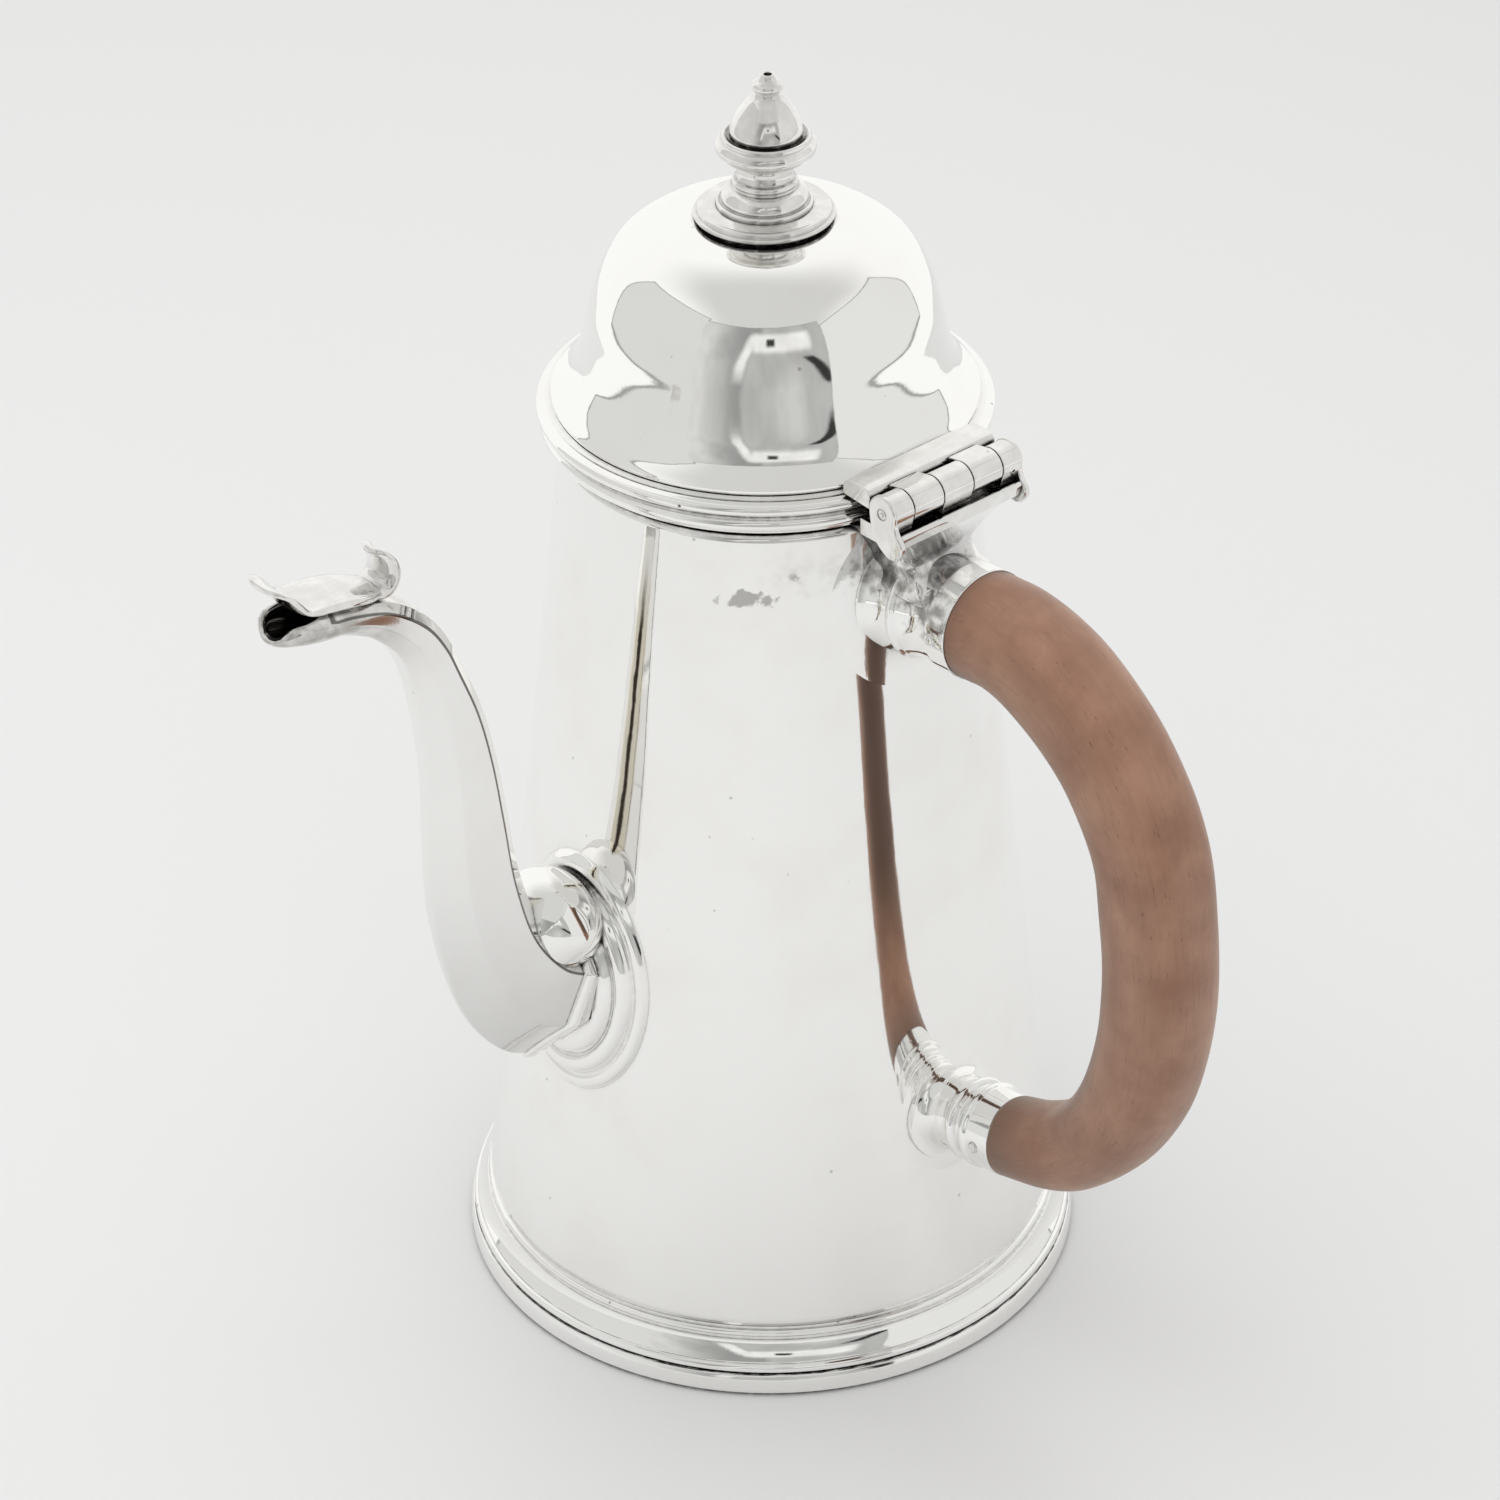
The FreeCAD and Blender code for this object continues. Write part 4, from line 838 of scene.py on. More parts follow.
# ---------------------------------------------------------------- plates and sockets
def wall_oval(name, azimuth, height, half_width, half_height, profile, nodes, material, rings=4, steps=128):
    """An oval plate laid on the wall. The profile gives (share of the way out, height of the metal)."""
    rows = smooth_line(profile, rings)
    rows = [(share, max(rise, 0.02)) for share, rise in rows]
    points = []
    for share, rise in rows + [(1.0, -0.6)]:
        for i in range(steps):
            angle = 2 * math.pi * i / steps
            across = half_width * share * math.cos(angle)
            up = half_height * share * math.sin(angle)
            radius = wall_radius(height + up) + rise
            turn = math.radians(azimuth) + across / wall_radius(height)
            points.append(Vector((radius * math.cos(turn), radius * math.sin(turn), height + up)))
    count = len(rows) + 1
    faces = ring_faces(count, steps)
    centre_out = wall_radius(height)
    turn = math.radians(azimuth)
    for rise, row, flip in ((rows[0][1], 0, True), (-0.6, count - 1, False)):
        out = centre_out + rise
        points.append(Vector((out * math.cos(turn), out * math.sin(turn), height)))
        hub = len(points) - 1
        for i in range(steps):
            a, b = row * steps + i, row * steps + (i + 1) % steps
            faces.append((b, a, hub) if flip else (a, b, hub))
    return make_piece(name, points, faces, "root", nodes, material)


SOCKET_TILT = {"upper": 2.7, "lower": 8.7}
PIN_INSET = 3.4


def socket_place(end):
    """A socket's own frame: Z along its axis, zero where the pin is."""
    at = middle(f"{end}_pin")
    tilt = math.radians(SOCKET_TILT[end] - 90.0)
    return Matrix.Translation((0.0, at.y, at.z)) @ Matrix.Rotation(tilt, 4, "X")


UPPER = socket_place("upper")
LOWER = socket_place("lower")


def make_sockets():
    radius = (high("upper_pin").x - low("upper_pin").x) / 2 - 0.25
    tube = 0.9

    def dented(p):
        bump = noise.noise(p / 5.0 + Vector((3, 1, 7)))
        return p + Vector((p.x, p.y, 0)).normalized() * 0.13 * bump if p.xy.length > 1 else p

    turned("upper_socket", [
        (radius - tube, PIN_INSET), (radius - tube, -6.0), (3.0, -6.0), (3.0, -22.0), (radius + 2.2, -22.0),
        (radius + 2.2, -15.5, -7.0), (radius + 0.7, -10.3), (radius + 0.8, -9.8, 0.8), (radius + 0.8, -8.9),
        (radius + 0.2, -8.5, -12.0), (radius + 0.1, -1.0), (radius + 0.1, PIN_INSET),
    ], "root", ["upper_socket"], SILVER_SOCKET, place=UPPER, steps=128, shape=dented, rounding=0.2)
    radius = (high("lower_pin").x - low("lower_pin").x) / 2 - 0.25
    turned("lower_socket", [
        (radius - tube, PIN_INSET), (radius - tube, -6.0), (2.0, -6.0), (2.0, -20.0), (radius + 2.6, -20.0),
        (radius + 2.4, -13.6, -3.2), (radius - 0.8, -10.2), (radius - 0.9, -9.4, -1.8), (radius - 0.3, -7.4),
        (radius - 0.1, -7.0, 0.8), (radius - 0.2, -5.6), (radius - 0.7, -5.3, -1.8), (radius - 0.3, -3.6),
        (radius + 0.25, -3.3, 0.8), (radius + 0.25, -2.2), (radius, -1.9), (radius, PIN_INSET),
    ], "root", ["lower_socket"], SILVER_CAST, place=LOWER, steps=128, shape=dented, rounding=0.2)
    for end, place in (("upper", UPPER), ("lower", LOWER)):
        reach = high(f"{end}_pin").x
        pin = (high(f"{end}_pin").z - low(f"{end}_pin").z) / 2
        turned(f"{end}_pin", [
            (0.0, -reach - 0.1), (pin * 0.6, -reach - 0.1), (pin, -reach + 0.15), (pin, reach - 0.15),
            (pin * 0.6, reach + 0.1), (0.0, reach + 0.1),
        ], "root", [f"{end}_pin"], SILVER_HINGE, place=place @ QUARTER_TURN, steps=40)
    for end, depth in (("upper", 1.2), ("lower", 1.1)):
        node = f"{end}_socket_plate"
        half_width = (high(node).x - low(node).x) / 2 + (1.8 if end == "upper" else 0.5)
        half_height = (high(node).z - low(node).z) / 2 + (1.8 if end == "upper" else 0.4)
        wall_oval(node, 90.0, middle(node).z, half_width, half_height, [
            (0.25, depth + 0.6), (0.5, depth + 0.4), (0.75, depth + 0.1), (0.93, depth - 0.2),
            (0.985, depth - 0.4), (1.0, 0.55),
        ], [node], SILVER_SOCKET if end == "upper" else SILVER_CAST)


# ---------------------------------------------------------------- handle
def wood_grain():
    """Colour, roughness and pores of worn fruitwood, with painted shade on the side turned to the pot, from the
    piece's own U and V.
    """
    group, source, sink = new_group(
        "wood_grain",
        [("Pores", FLOAT, 0.6)],
        [("Color", COLOR), ("Roughness", FLOAT), ("Height", FLOAT)],
    )
    spot = put(group, "ShaderNodeTexCoord").outputs["UV"]
    body = put(group, "ShaderNodeTexCoord").outputs["Object"]

    def scaled(across, along):
        return put(group, "ShaderNodeMapping", in_Vector=spot, in_Scale=(across, along, 1.0)).outputs[0]

    grain = cloud(group, scaled(95.0, 22.0), 1.0, 5.0, 0.62)
    streak = cloud(group, scaled(9.0, 3.0), 1.0, 3.0, 0.55)
    mottle = cloud(group, body, 75.0, 4.0, 0.6)
    color = blend_colors(group, spread(group, mottle, 0.3, 0.7), (0.26, 0.126, 0.078, 1),
                         (0.375, 0.207, 0.136, 1))
    color = blend_colors(group, spread(group, streak, 0.42, 0.72, 0.0, 0.55), color, (0.25, 0.13, 0.085, 1))
    color = blend_colors(group, spread(group, grain, 0.5, 0.78, 0.0, 0.45), color, (0.2, 0.1, 0.062, 1))
    cells = put(group, "ShaderNodeTexVoronoi", in_Vector=scaled(150.0, 60.0), in_Scale=1.0)
    pore = spread(group, cells.outputs["Distance"], 0.2, 0.08)
    pore = product(group, pore, spread(group, grain, 0.44, 0.6), source.outputs["Pores"])
    color = blend_colors(group, pore, color, (0.07, 0.04, 0.028, 1))
    place = put(group, "ShaderNodeSeparateXYZ", in_Vector=spot)
    along = place.outputs["Y"]
    near_low = maths(group, "ADD", along, product(group, mottle, 0.06))
    near_low = spread(group, near_low, 0.9, 1.04, 0.0, 0.75)
    near_top = maths(group, "SUBTRACT", along, product(group, mottle, 0.05))
    near_top = spread(group, near_top, 0.02, -0.03, 0.0, 0.5)
    color = blend_colors(group, maths(group, "MAXIMUM", near_low, near_top), color, (0.14, 0.085, 0.06, 1))
    # Painted shade: the side of the grip turned to the pot is darkened, fading out towards the lower end.
    from_inside = maths(group, "ABSOLUTE", maths(group, "SUBTRACT", place.outputs["X"], 0.25))
    above_foot = spread(group, along, 0.86, 0.66, 0.0, 0.85)
    inside = product(group, spread(group, from_inside, 0.2, 0.08), above_foot)
    color = blend_colors(group, inside, color, (0.085, 0.05, 0.036, 1))
    group.links.new(color, sink.inputs["Color"])
    rough = maths(group, "MULTIPLY_ADD", grain, 0.2, 0.32)
    group.links.new(rough, sink.inputs["Roughness"])
    height = maths(group, "MULTIPLY_ADD", pore, -1.2, product(group, grain, 0.5))
    group.links.new(height, sink.inputs["Height"])
    return group


def wood():
    """Worn fruitwood with a faint bloom."""
    material, shader, _ = patterned("handle_fruitwood", wood_grain(), 0.09)
    shader.inputs["Specular IOR Level"].default_value = 0.42
    shader.inputs["Sheen Weight"].default_value = 0.25
    shader.inputs["Sheen Roughness"].default_value = 0.45
    shader.inputs["Sheen Tint"].default_value = (0.8, 0.7, 0.62, 1.0)
    return material


def make_handle():
    """The wooden grip: an easy C from one socket to the other, fullest at the back."""
    top = UPPER @ Vector((0, 0, PIN_INSET))
    foot = LOWER @ Vector((0, 0, PIN_INSET))
    grip = 9.4
    reach = high("handle").y - grip
    upper = (high("upper_pin").x - low("upper_pin").x) / 2 - 0.45
    lower = (high("lower_pin").x - low("lower_pin").x) / 2 - 0.35
    line = [
        (top.y, top.z, upper), (top.y + 7.5, top.z + 0.3, upper), (top.y + 15.5, top.z - 1.6, upper - 0.1),
        (top.y + 24.5, top.z - 6.4, grip), (top.y + 33.0, top.z - 14.0, grip),
        (top.y + 39.8, top.z - 25.5, grip),
        (reach - 1.2, top.z - 37.5, grip), (reach, (top.z + foot.z) / 2 - 2.5, grip),
        (reach - 2.6, foot.z + 31.0, grip - 0.3), (reach - 8.2, foot.z + 18.0, grip - 0.9),
        (foot.y + 17.0, foot.z + 8.6, grip - 1.5), (foot.y + 9.0, foot.z + 3.2, lower + 0.35),
        (foot.y, foot.z, lower),
    ]
    path = smooth_line(line, 16)
    steps = 72
    sideways = Vector((1, 0, 0))
    out_of_upper = UPPER.to_3x3() @ Vector((0, 0, 1))
    out_of_lower = LOWER.to_3x3() @ Vector((0, 0, 1))
    dent = Vector((5.5, top.y + 33.0, top.z - 8.0))
    dent_depth, dent_width = 0.55, 4.2
    rings = []
    for i, (y, z, radius) in enumerate(path):
        a = path[max(i - 1, 0)]
        b = path[min(i + 1, len(path) - 1)]
        along = Vector((0.0, b[0] - a[0], b[1] - a[1])).normalized()
        if i == 0:
            along = out_of_upper.normalized()
        if i == len(path) - 1:
            along = -out_of_lower.normalized()
        out = sideways.cross(along)
        centre = Vector((0.0, y, z))
        share = i / (len(path) - 1)
        square = 0.5 * ease(share, 0.05, 0.25) * (1 - ease(share, 0.8, 0.97))
        waves = 0.16 * ease(share, 0.0, 0.06) * (1 - ease(share, 0.94, 1.0))
        ring = []
        for k in range(steps):
            angle = 2 * math.pi * k / steps
            c, s = math.cos(angle), math.sin(angle)
            power = 2.0 + 0.7 * square
            size = radius / (abs(c) ** power + abs(s) ** power) ** (1 / power)
            p = centre + sideways * c * size * (1 - 0.05 * square) + out * s * size
            p += (p - centre).normalized() * waves * noise.noise(p / 11.0)
            from_dent = (p - dent).length / dent_width
            p -= (p - centre).normalized() * dent_depth * math.exp(-from_dent ** 2)
            ring.append(p)
        rings.append(ring)
    tenon = 3.0
    inner_top = [top + (p - top) * 0.93 - out_of_upper * tenon for p in rings[0]]
    inner_foot = [foot + (p - foot) * 0.9 - out_of_lower * tenon for p in rings[-1]]
    rings = [inner_top] + rings + [inner_foot]
    obj = loft("handle", rings, "root", ["handle"], wood())
    add_sweep_uv(obj, path)
    PIECES[-1] = (obj, "root", ["handle"], "handle_wood")


def add_sweep_uv(obj, path):
    """U round the section and V along the line, 0 at the upper socket and 1 at the lower."""
    centres = [Vector((0.0, y, z)) * MM for y, z, _ in path]
    layer = obj.data.uv_layers.new(name="sweep")
    cache = {}
    for loop in obj.data.loops:
        index = loop.vertex_index
        if index not in cache:
            co = obj.data.vertices[index].co
            nearest = min(range(len(centres)), key=lambda i: (centres[i] - co).length_squared)
            a = centres[max(nearest - 1, 0)]
            b = centres[min(nearest + 1, len(centres) - 1)]
            out = Vector((1, 0, 0)).cross((b - a).normalized())
            arm = co - centres[nearest]
            around = math.atan2(arm.dot(out), arm.x) / (2 * math.pi) + 0.5
            cache[index] = (around, nearest / (len(centres) - 1))
    for polygon in obj.data.polygons:
        values = [cache[obj.data.loops[i].vertex_index] for i in polygon.loop_indices]
        wrap = max(v[0] for v in values) - min(v[0] for v in values) > 0.5
        for i, value in zip(polygon.loop_indices, values):
            layer.data[i].uv = (value[0] + (1.0 if wrap and value[0] < 0.5 else 0.0), value[1])


# ---------------------------------------------------------------- spout
SPOUT_ROOT = Vector((wall_radius(middle("spout_plate").z - 1.0), 0.0, middle("spout_plate").z - 1.0))
# Stations up the spout: out from the wall and up from the root, the slope of the line in degrees,
# then the section's depth, width and corner.
SPOUT_LINE = [
    (4.5, -0.6, 20.0, 25.0, 18.2, 5.8), (6.5, 0.0, 21.0, 25.0, 18.0, 5.6), (12.3, 3.0, 23.0, 25.4, 16.2, 5.6),
    (17.2, 9.2, 43.0, 22.6, 14.2, 5.0), (21.0, 17.5, 60.0, 19.4, 12.8, 3.9), (23.8, 30.0, 77.5, 17.6, 11.6, 3.3),
    (24.8, 43.0, 84.0, 16.0, 10.7, 3.0), (25.6, 55.4, 82.0, 13.9, 10.0, 2.7), (27.2, 66.0, 78.0, 11.8, 9.6, 2.3),
    (29.7, 75.4, 69.0, 9.6, 9.2, 2.0), (31.8, 81.4, 60.0, 8.6, 9.0, 1.8), (35.2, 86.8, 45.0, 7.9, 9.2, 1.7),
    (41.2, 92.0, 27.0, 7.2, 9.8, 1.7), (48.0, 94.9, 15.0, 6.6, 10.6, 1.9), (53.0, 96.0, 10.0, 6.8, 11.0, 2.3),
]
SPOUT_WALL = 1.1
JAW_REACH = 8.8
SPOUT_SIDE_LEAN = math.tan(math.radians(5.5))


def spout_ring(station, inset, roundness=0.0):
    """An eight-sided section with eased corners, narrower below, with how far down each point is."""
    out, up, slope, depth, width, corner = station
    half_depth = depth / 2 - inset
    half_width = width / 2 - inset
    nip = max(corner - inset * 0.6, 0.3)
    belly = min(nip * 1.45, half_width - 0.6)
    outline = [
        (half_width, -(half_depth - belly * 1.15)), (half_width, half_depth - nip),
        (half_width - nip, half_depth),
        (-(half_width - nip), half_depth), (-half_width, half_depth - nip),
        (-half_width, -(half_depth - belly * 1.15)), (-(half_width - belly), -half_depth),
        (half_width - belly, -half_depth),
    ]
    centre = SPOUT_ROOT + Vector((out, 0.0, up))
    angle = math.radians(slope)
    normal = Vector((-math.sin(angle), 0.0, math.cos(angle)))
    ring = []
    line = softened(outline, 0.28)
    for p in [a.lerp(b, k / 3) for a, b in zip(line, line[1:] + line[:1]) for k in range(3)]:
        oval = Vector((p.x / half_width, p.y / half_depth)).normalized()
        p = p.lerp(Vector((oval.x * half_width, oval.y * half_depth)), roundness)
        across = p.x * (1 + SPOUT_SIDE_LEAN * p.y / half_width * (1 - roundness))
        down = (half_depth - p.y) / (2 * half_depth)
        ring.append((centre + Vector((0, 1, 0)) * across + normal * p.y, down))
    return ring


def silver_spout():
    """Clean on the neck, dulled at the beak, darker towards the bottom, dark along its upper edges, and painted
    shade, golden with a dark line on the seam, down the face turned to the pot.
    """
    material = silver("silver_spout", relief=0.012, Bloom=0.4, Pits=0.6)
    tree = material.node_tree
    group = next(node for node in tree.nodes if node.type == "GROUP")
    spot = put(tree, "ShaderNodeTexCoord").outputs["Object"]
    at = put(tree, "ShaderNodeSeparateXYZ", in_Vector=spot).outputs
    beak = (SPOUT_ROOT.x + SPOUT_LINE[-5][0]) * MM
    tip = (SPOUT_ROOT.x + SPOUT_LINE[-1][0]) * MM
    tree.links.new(spread(tree, at["X"], beak, tip, 0.0, 0.75), group.inputs["Dulling"])
    uv = put(tree, "ShaderNodeTexCoord").outputs["UV"]
    above_edge = put(tree, "ShaderNodeSeparateXYZ", in_Vector=uv).outputs["Y"]
    edge = spread(tree, maths(tree, "ABSOLUTE", above_edge), 0.34, 0.14, 0.0, 0.8)
    off_centre = maths(tree, "ABSOLUTE", at["Y"])
    off_centre = maths(tree, "MULTIPLY_ADD", cloud(tree, spot, 260.0), 0.0012, off_centre)
    # Painted shade down the face turned to the pot, below the crown: a golden band with a dark line at its
    # middle, on the seam between the halves.
    inner_face = spread(tree, above_edge, 0.6, 0.9)
    below_crown = spread(tree, at["Z"], 0.15, 0.135)
    color = group.outputs["Color"]
    for start, full, depth, shade in ((0.0042, 0.003, 0.6, GOLDEN_PAINTED_SHADE), (0.0017, 0.0012, 1.0, SEAM_AND_SHADE_DARK)):
        amount = product(tree, spread(tree, off_centre, start, full, 0.0, depth), inner_face, below_crown)
        color = blend_colors(tree, amount, color, shade)
    # The spout is darker towards the bottom.
    darker_low = spread(tree, at["Z"], 0.072, 0.125, 0.84, 0.96)
    color = blend_colors(tree, 1.0, color, darker_low, "MULTIPLY")
    color = blend_colors(tree, edge, color, EDGE_DARK)
    tree.links.new(color, tree.nodes["Principled BSDF"].inputs["Base Color"])
    return material


def add_edge_uv(obj, distances):
    """V is how far a point lies above the side's upper edge, in millimetres."""
    layer = obj.data.uv_layers.new(name="edge")
    for loop in obj.data.loops:
        layer.data[loop.index].uv = (0.0, distances[loop.vertex_index])


def make_spout():
    """The swan neck, hollow all the way, its lower jaw reaching past the upper one."""
    stations = smooth_line(SPOUT_LINE, 9)
    beak_start = SPOUT_LINE[-4][0]
    beak_end = SPOUT_LINE[-1][0]
    skins = []
    for inset in (0.0, SPOUT_WALL):
        rings = []
        for station in stations:
            last = spout_ring(station, inset, ease(station[0], beak_start, beak_end))
            rings.append([p for p, _ in last])
        slope = math.radians(stations[-1][2])
        forward = Vector((math.cos(slope), 0.0, math.sin(slope)))
        for step in range(1, 19):
            share = step / 18
            ring = []
            for p, down in last:
                jaw = ease(down, 0.02, 0.6)
                reach = JAW_REACH * math.sin(share * math.pi / 2) ** 0.8 - inset * 0.9 * share
                narrow = math.sqrt(1 - 0.55 * share ** 3.0)
                moved = p + forward * reach * jaw * (1 - 0.15 * (p.y / 5.5) ** 2)
                moved.y = p.y * (1 - (1 - narrow) * jaw)
                moved.z += jaw * (1.2 * share ** 2 - inset * 0.4 * share)
                ring.append(moved)
            rings.append(ring)
        skins.append(rings)
    rings = skins[0] + skins[1][::-1]
    obj = loft("spout", rings, "root", ["spout_left_half", "spout_right_half"], silver_spout(), caps=False)
    distances = []
    for station in stations:
        depth, corner = station[3], station[5]
        distances += [depth / 2 - down * depth - (depth / 2 - corner) for _, down in spout_ring(station, 0.0)]
    add_edge_uv(obj, distances + [-9.0] * (len(obj.data.vertices) - len(distances)))


def make_spout_root():
    """The oval plate with its stepped mouldings, and the drop above the root."""
    node = "spout_plate"
    half_width = (high(node).y - low(node).y) / 2 + 0.8
    half_height = (high(node).z - low(node).z) / 2
    wall_oval(node, 0.0, middle(node).z, half_width, half_height, [
        (0.3, 5.6), (0.5, 5.4), (0.58, 4.9), (0.63, 3.9), (0.655, 3.4), (0.69, 3.9), (0.75, 3.9), (0.8, 3.1),
        (0.825, 2.3), (0.85, 2.0), (0.89, 2.3), (0.94, 2.1), (0.98, 1.3), (0.995, 0.8), (1.0, 0.6),
    ], [node], SILVER_CAST, rings=5, steps=160)
    boss = middle("spout_boss")
    size = 1.2 * (high("spout_boss").z - low("spout_boss").z) / 2
    centre = Vector((boss.x + 1.2, 0.0, boss.z - 2.2))
    lean = Matrix.Rotation(math.radians(38), 4, "Y")
    turned("spout_boss", [
        (0.0, -size * 1.3), (size * 0.8, -size * 0.9, size * 1.5), (size * 1.14, 0.0, size * 1.5),
        (size * 0.84, size * 0.86, size * 1.3), (0.0, size * 1.22),
    ], "root", ["spout_boss"], silver("silver_boss", Seam_Tarnish=0.4),
        place=Matrix.Translation(centre) @ Matrix.Scale(1.14, 4, (0, 1, 0)) @ lean, steps=128)
    rings = []
    for grow, out in ((-0.4, 6.5), (0.4, 6.6), (0.95, 7.0), (0.95, 8.2), (0.4, 8.8), (-0.4, 8.9)):
        stations = [row for row in smooth_line(SPOUT_LINE, 24) if row[0] >= out]
        rings.append([p for p, _ in spout_ring(stations[0], -grow)])
    loft("spout_root_band", rings, "root", [], SILVER_CAST)


def strip(name, path, material, sections=13):
    """A strip of sheet along a path of (x, z, half width, thickness, lift of its sides)."""
    rows = smooth_line(path, 8)
    rings = []
    for i, (x, z, half, thick, lift) in enumerate(rows):
        a = rows[max(i - 1, 0)]
        b = rows[min(i + 1, len(rows) - 1)]
        along = Vector((b[0] - a[0], 0.0, b[1] - a[1])).normalized()
        up = Vector((-along.z, 0.0, along.x))
        ring = []
        for side, order in ((1, range(sections)), (-1, range(sections - 1, -1, -1))):
            for k in order:
                across = math.sin((k / (sections - 1) - 0.5) * math.pi)
                eased = math.sqrt(max(1 - across ** 8, 0.0))
                rise = side * thick / 2 * (0.2 + 0.8 * eased) + lift * across * across
                ring.append(Vector((x, half * across, z)) + up * rise)
        rings.append(ring)
    return loft(name, rings, "root", [name], material)


def make_cover():
    """The plate over the beak, its front flicked up in a tongue and its back turned up in a lobe."""
    x = SPOUT_ROOT.x + 48.5
    z = SPOUT_ROOT.z + 95.0
    strip("spout_cover", [
        (x - 7.4, z + 2.5, 3.7, 1.6, -0.6), (x - 4.5, z + 3.6, 4.9, 1.7, -0.8),
        (x - 1.0, z + 4.6, 5.5, 1.7, -0.8), (x + 3.2, z + 5.3, 5.6, 1.6, -0.7),
        (x + 6.6, z + 5.4, 5.5, 1.5, -0.3), (x + 8.6, z + 5.6, 5.3, 1.4, 0.3),
        (x + 10.2, z + 6.9, 5.2, 1.4, 0.7), (x + 11.6, z + 8.7, 5.0, 1.3, 0.7),
        (x + 12.9, z + 9.9, 4.5, 1.2, 0.5), (x + 13.9, z + 10.5, 3.4, 1.1, 0.3),
        (x + 14.3, z + 10.7, 1.6, 0.8, 0.1),
    ], SILVER_BEAK)
    strip("spout_scroll", [
        (x - 4.6, z + 3.4, 3.7, 1.4, 0.2), (x - 6.6, z + 2.6, 3.8, 1.7, 0.5), (x - 8.4, z + 2.8, 3.8, 1.9, 1.0),
        (x - 9.3, z + 4.2, 3.8, 1.9, 1.3), (x - 9.4, z + 6.0, 3.6, 1.8, 1.3), (x - 8.9, z + 7.6, 3.1, 1.6, 1.0),
        (x - 8.1, z + 8.7, 2.3, 1.3, 0.5), (x - 7.5, z + 9.1, 1.1, 0.9, 0.1),
    ], SILVER_BEAK)
    make_chevrons()


def make_chevrons():
    """Two small three-cornered facets raised on the neck behind the lobe."""
    stations = smooth_line(SPOUT_LINE, 9)
    for number, share in enumerate((0.775, 0.805)):
        out, up, slope, depth, width, corner = stations[int(share * len(stations))]
        angle = math.radians(slope)
        along = Vector((math.cos(angle), 0.0, math.sin(angle)))
        normal = Vector((-along.z, 0.0, along.x))
        centre = SPOUT_ROOT + Vector((out, 0.0, up)) + normal * (depth / 2 - 0.15)
        half = width / 2 - corner - 0.3
        base = [centre + along * 2.2 + Vector((0, half, 0)), centre + along * 2.2 - Vector((0, half, 0)),
                centre - along * 1.4]
        points = base + [centre + along * 1.0 + normal * 0.75]
        faces = [(0, 1, 2), (0, 3, 1), (1, 3, 2), (2, 3, 0)]
        bevelled(make_piece(f"spout_chevron_{number + 1}", points, faces, "root", [], SILVER_BEAK), 0.12)


# ---------------------------------------------------------------- studio
CAMERA_AZIMUTH = 138.5
FACING = math.radians(CAMERA_AZIMUTH)
TOWARDS_CAMERA = Vector((math.sin(FACING), -math.cos(FACING), 0.0))
CAMERA_ELEVATION = math.degrees(0.58148)
CAMERA_DISTANCE = 897.7
CAMERA_AIM = Vector((0.0, 0.0, 102.27))
CAMERA_TURN = (0.2076, 0.0275, -0.4250)


def make_camera():
    elevation = math.radians(CAMERA_ELEVATION)
    back = TOWARDS_CAMERA * math.cos(elevation) + Vector((0.0, 0.0, math.sin(elevation)))
    data = bpy.data.cameras.new("camera")
    data.sensor_width = 36.0
    data.lens = 120.0
    data.clip_start = 0.05
    data.clip_end = 30.0
    camera = bpy.data.objects.new("camera", data)
    bpy.context.scene.collection.objects.link(camera)
    yaw, pitch, roll = (math.radians(v) for v in CAMERA_TURN)
    aim = back.to_track_quat("Z", "Y").to_matrix().to_4x4()
    nudge = Matrix.Rotation(yaw, 4, "Y") @ Matrix.Rotation(pitch, 4, "X") @ Matrix.Rotation(roll, 4, "Z")
    camera.matrix_world = Matrix.Translation((CAMERA_AIM + back * CAMERA_DISTANCE) * MM) @ aim @ nudge
    bpy.context.scene.camera = camera


FLOOR_RADIUS = 0.66


def make_floor():
    """A pale paper disc on the table."""
    mesh = bpy.data.meshes.new("floor")
    steps = 128
    turns = [2 * math.pi * i / steps for i in range(steps)]
    rim = [(FLOOR_RADIUS * math.cos(turn), FLOOR_RADIUS * math.sin(turn), 0.0) for turn in turns]
    mesh.from_pydata(rim, [], [tuple(range(steps))])
    material = bpy.data.materials.new("floor_paper")
    material.use_nodes = True
    shader = material.node_tree.nodes["Principled BSDF"]
    shader.inputs["Base Color"].default_value = (0.765, 0.765, 0.768, 1.0)
    shader.inputs["Roughness"].default_value = 0.7
    shader.inputs["Specular IOR Level"].default_value = 0.15
    mesh.materials.append(material)
    floor = bpy.data.objects.new("floor", mesh)
    bpy.context.scene.collection.objects.link(floor)


def make_light():
    """A broad soft box over the back of the table, so the paper is brightest behind the pot."""
    data = bpy.data.lights.new("soft_box", "AREA")
    data.shape = "SQUARE"
    data.size = 1.1
    data.energy = 2.85
    box = bpy.data.objects.new("soft_box", data)
    aside = TOWARDS_CAMERA.cross(Vector((0, 0, 1)))
    box.location = -TOWARDS_CAMERA * 0.2 + aside * 0.2 + Vector((0, 0, 0.85))
    box.visible_glossy = False
    bpy.context.scene.collection.objects.link(box)
    fill = box.copy()
    fill.data = data.copy()
    fill.name = "fill"
    fill.data.energy = 2.5
    beside_camera = TOWARDS_CAMERA * 0.75 + Vector((0, 0, 0.8))
    fill.location = beside_camera
    fill.rotation_euler = beside_camera.to_track_quat("Z", "Y").to_euler()
    bpy.context.scene.collection.objects.link(fill)


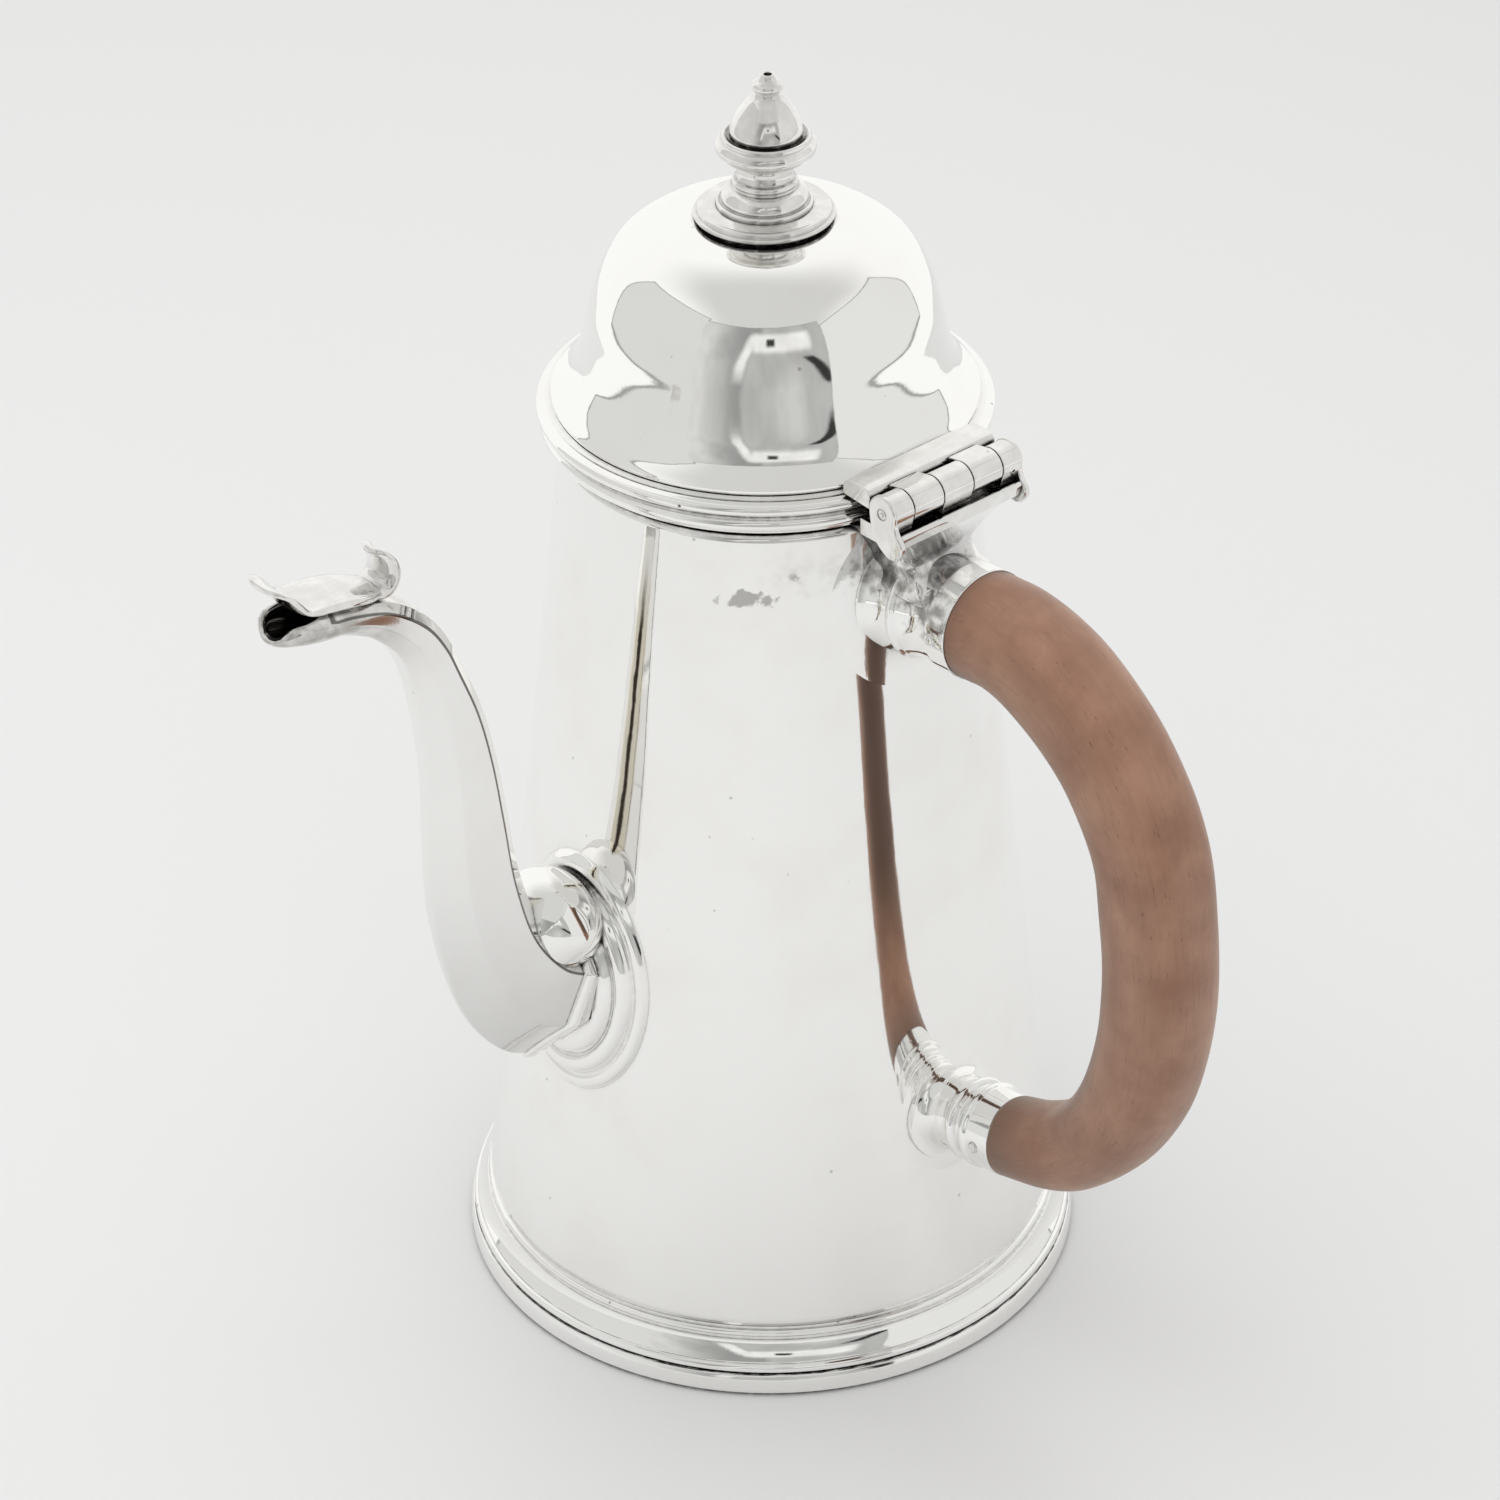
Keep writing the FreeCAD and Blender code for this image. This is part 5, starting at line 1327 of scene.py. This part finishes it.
def make_room():
    """A white tent round the table: bright above, a pale screen each side, a grey gap in front."""
    world = bpy.data.worlds.new("white_tent")
    bpy.context.scene.world = world
    world.use_nodes = True
    tree = world.node_tree
    background = tree.nodes["Background"]
    way = put(tree, "ShaderNodeTexCoord").outputs["Generated"]
    turned_way = put(tree, "ShaderNodeVectorRotate", rotation_type="Z_AXIS", in_Vector=way,
                     in_Angle=-math.radians(CAMERA_AZIMUTH - 90.0))
    part = put(tree, "ShaderNodeSeparateXYZ", in_Vector=turned_way.outputs[0])
    x, y, z = part.outputs
    degrees = 180 / math.pi
    azimuth = product(tree, maths(tree, "ARCTAN2", y, x), degrees)
    elevation = product(tree, maths(tree, "ARCSINE", z), degrees)

    def window(value, start, end, soft):
        rise = spread(tree, value, start - soft, start + soft)
        fall = spread(tree, value, end - soft, end + soft, 1.0, 0.0)
        return product(tree, rise, fall)

    def patch(color, level, *ranges):
        mask = None
        for value, start, end, soft in ranges:
            part_mask = window(value, start, end, soft)
            mask = part_mask if mask is None else product(tree, mask, part_mask)
        return blend_colors(tree, mask, color, grey(level))

    def grey(level):
        return (level, level * 0.998, level * 0.985, 1.0)

    def screen(color, level, start, end, nearest, height):
        """A pale screen standing on the table, its top edge dropping away from its nearest point."""
        swing = maths(tree, "COSINE", maths(tree, "RADIANS", maths(tree, "SUBTRACT", azimuth, nearest)))
        top = product(tree, swing, math.tan(math.radians(height)))
        top = maths(tree, "DEGREES", maths(tree, "ARCTANGENT", top))
        for edge, value in ((0.8, 0.3), (0.0, level)):
            under = spread(tree, maths(tree, "SUBTRACT", elevation, top), edge - 0.4, edge + 0.4, 1.0, 0.0)
            mask = product(tree, under, window(azimuth, start - edge, end + edge, 0.4),
                           spread(tree, elevation, -9.4 - edge, -8.6 - edge))
            color = blend_colors(tree, mask, color, grey(value))
        return color

    forward = product(tree, maths(tree, "ARCTAN2", z, x), degrees)
    aside = product(tree, maths(tree, "ARCSINE", y), degrees)
    edge_top = 38.0
    light = grey(0.99)
    light = patch(light, 0.66, (aside, -34.0, 42.0, 14.0), (forward, -40.0, 112.0, 20.0))
    light = screen(light, 0.71, -115.0, -45.0, -79.0, 46.0)
    light = screen(light, 0.79, 41.5, 118.5, 96.0, 46.0)
    side = maths(tree, "MULTIPLY_ADD", elevation, 0.35, -16.0)
    from_side = maths(tree, "SUBTRACT", azimuth, side)
    shade = spread(tree, azimuth, -46.0, -16.0)
    gap = blend_colors(tree, shade, grey(0.7), grey(0.34))
    gap = patch(gap, 0.84, (from_side, -5.0, 1.0, 2.0), (elevation, 2.0, 30.0, 4.0))
    gap = blend_colors(tree, spread(tree, from_side, 0.0, 4.0), gap, grey(0.47))
    gap = patch(gap, 0.57, (azimuth, 6.0, 26.0, 6.0), (elevation, -30.0, 4.0, 6.0))
    gap = patch(gap, 0.86, (azimuth, -8.0, 31.0, 2.0), (elevation, 17.0, 30.0, 3.0))
    gap = patch(gap, 0.04, (azimuth, 1.0, 7.0, 1.2), (elevation, 21.0, 26.0, 1.5))
    wedge = maths(tree, "MULTIPLY_ADD", elevation, 1.1, azimuth)
    gap = patch(gap, 0.04, (wedge, 36.0, 43.0, 1.5), (elevation, -3.0, 11.0, 1.5))
    gap = patch(gap, 0.3, (elevation, edge_top - 0.6, edge_top + 0.2, 0.3))
    soft = put(tree, "ShaderNodeCombineXYZ", in_X=product(tree, azimuth, 0.09),
               in_Y=product(tree, elevation, 0.05)).outputs[0]
    uneven = spread(tree, cloud(tree, soft, 1.0, 2.0), 0.3, 0.7, 0.92, 1.08)
    gap = blend_colors(tree, 1.0, gap, uneven, "MULTIPLY")
    inside = product(tree, window(azimuth, -45.5, 41.2, 0.5), window(elevation, -30.0, edge_top, 0.4))
    light = blend_colors(tree, inside, light, gap)
    seen = put(tree, "ShaderNodeLightPath").outputs["Is Camera Ray"]
    tree.links.new(blend_colors(tree, seen, light, grey(0.8)), background.inputs["Color"])
    view = bpy.context.scene.view_settings
    view.view_transform = "Standard"
    view.look = "None"


make_camera()
make_floor()
make_light()
make_room()
make_foot()
make_body()
make_lid()
make_finial()
make_hinge()
make_sockets()
make_handle()
make_spout()
make_spout_root()
make_cover()

for obj, body, nodes, slot in PIECES:
    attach(obj, body)
    if nodes:
        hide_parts(*nodes)
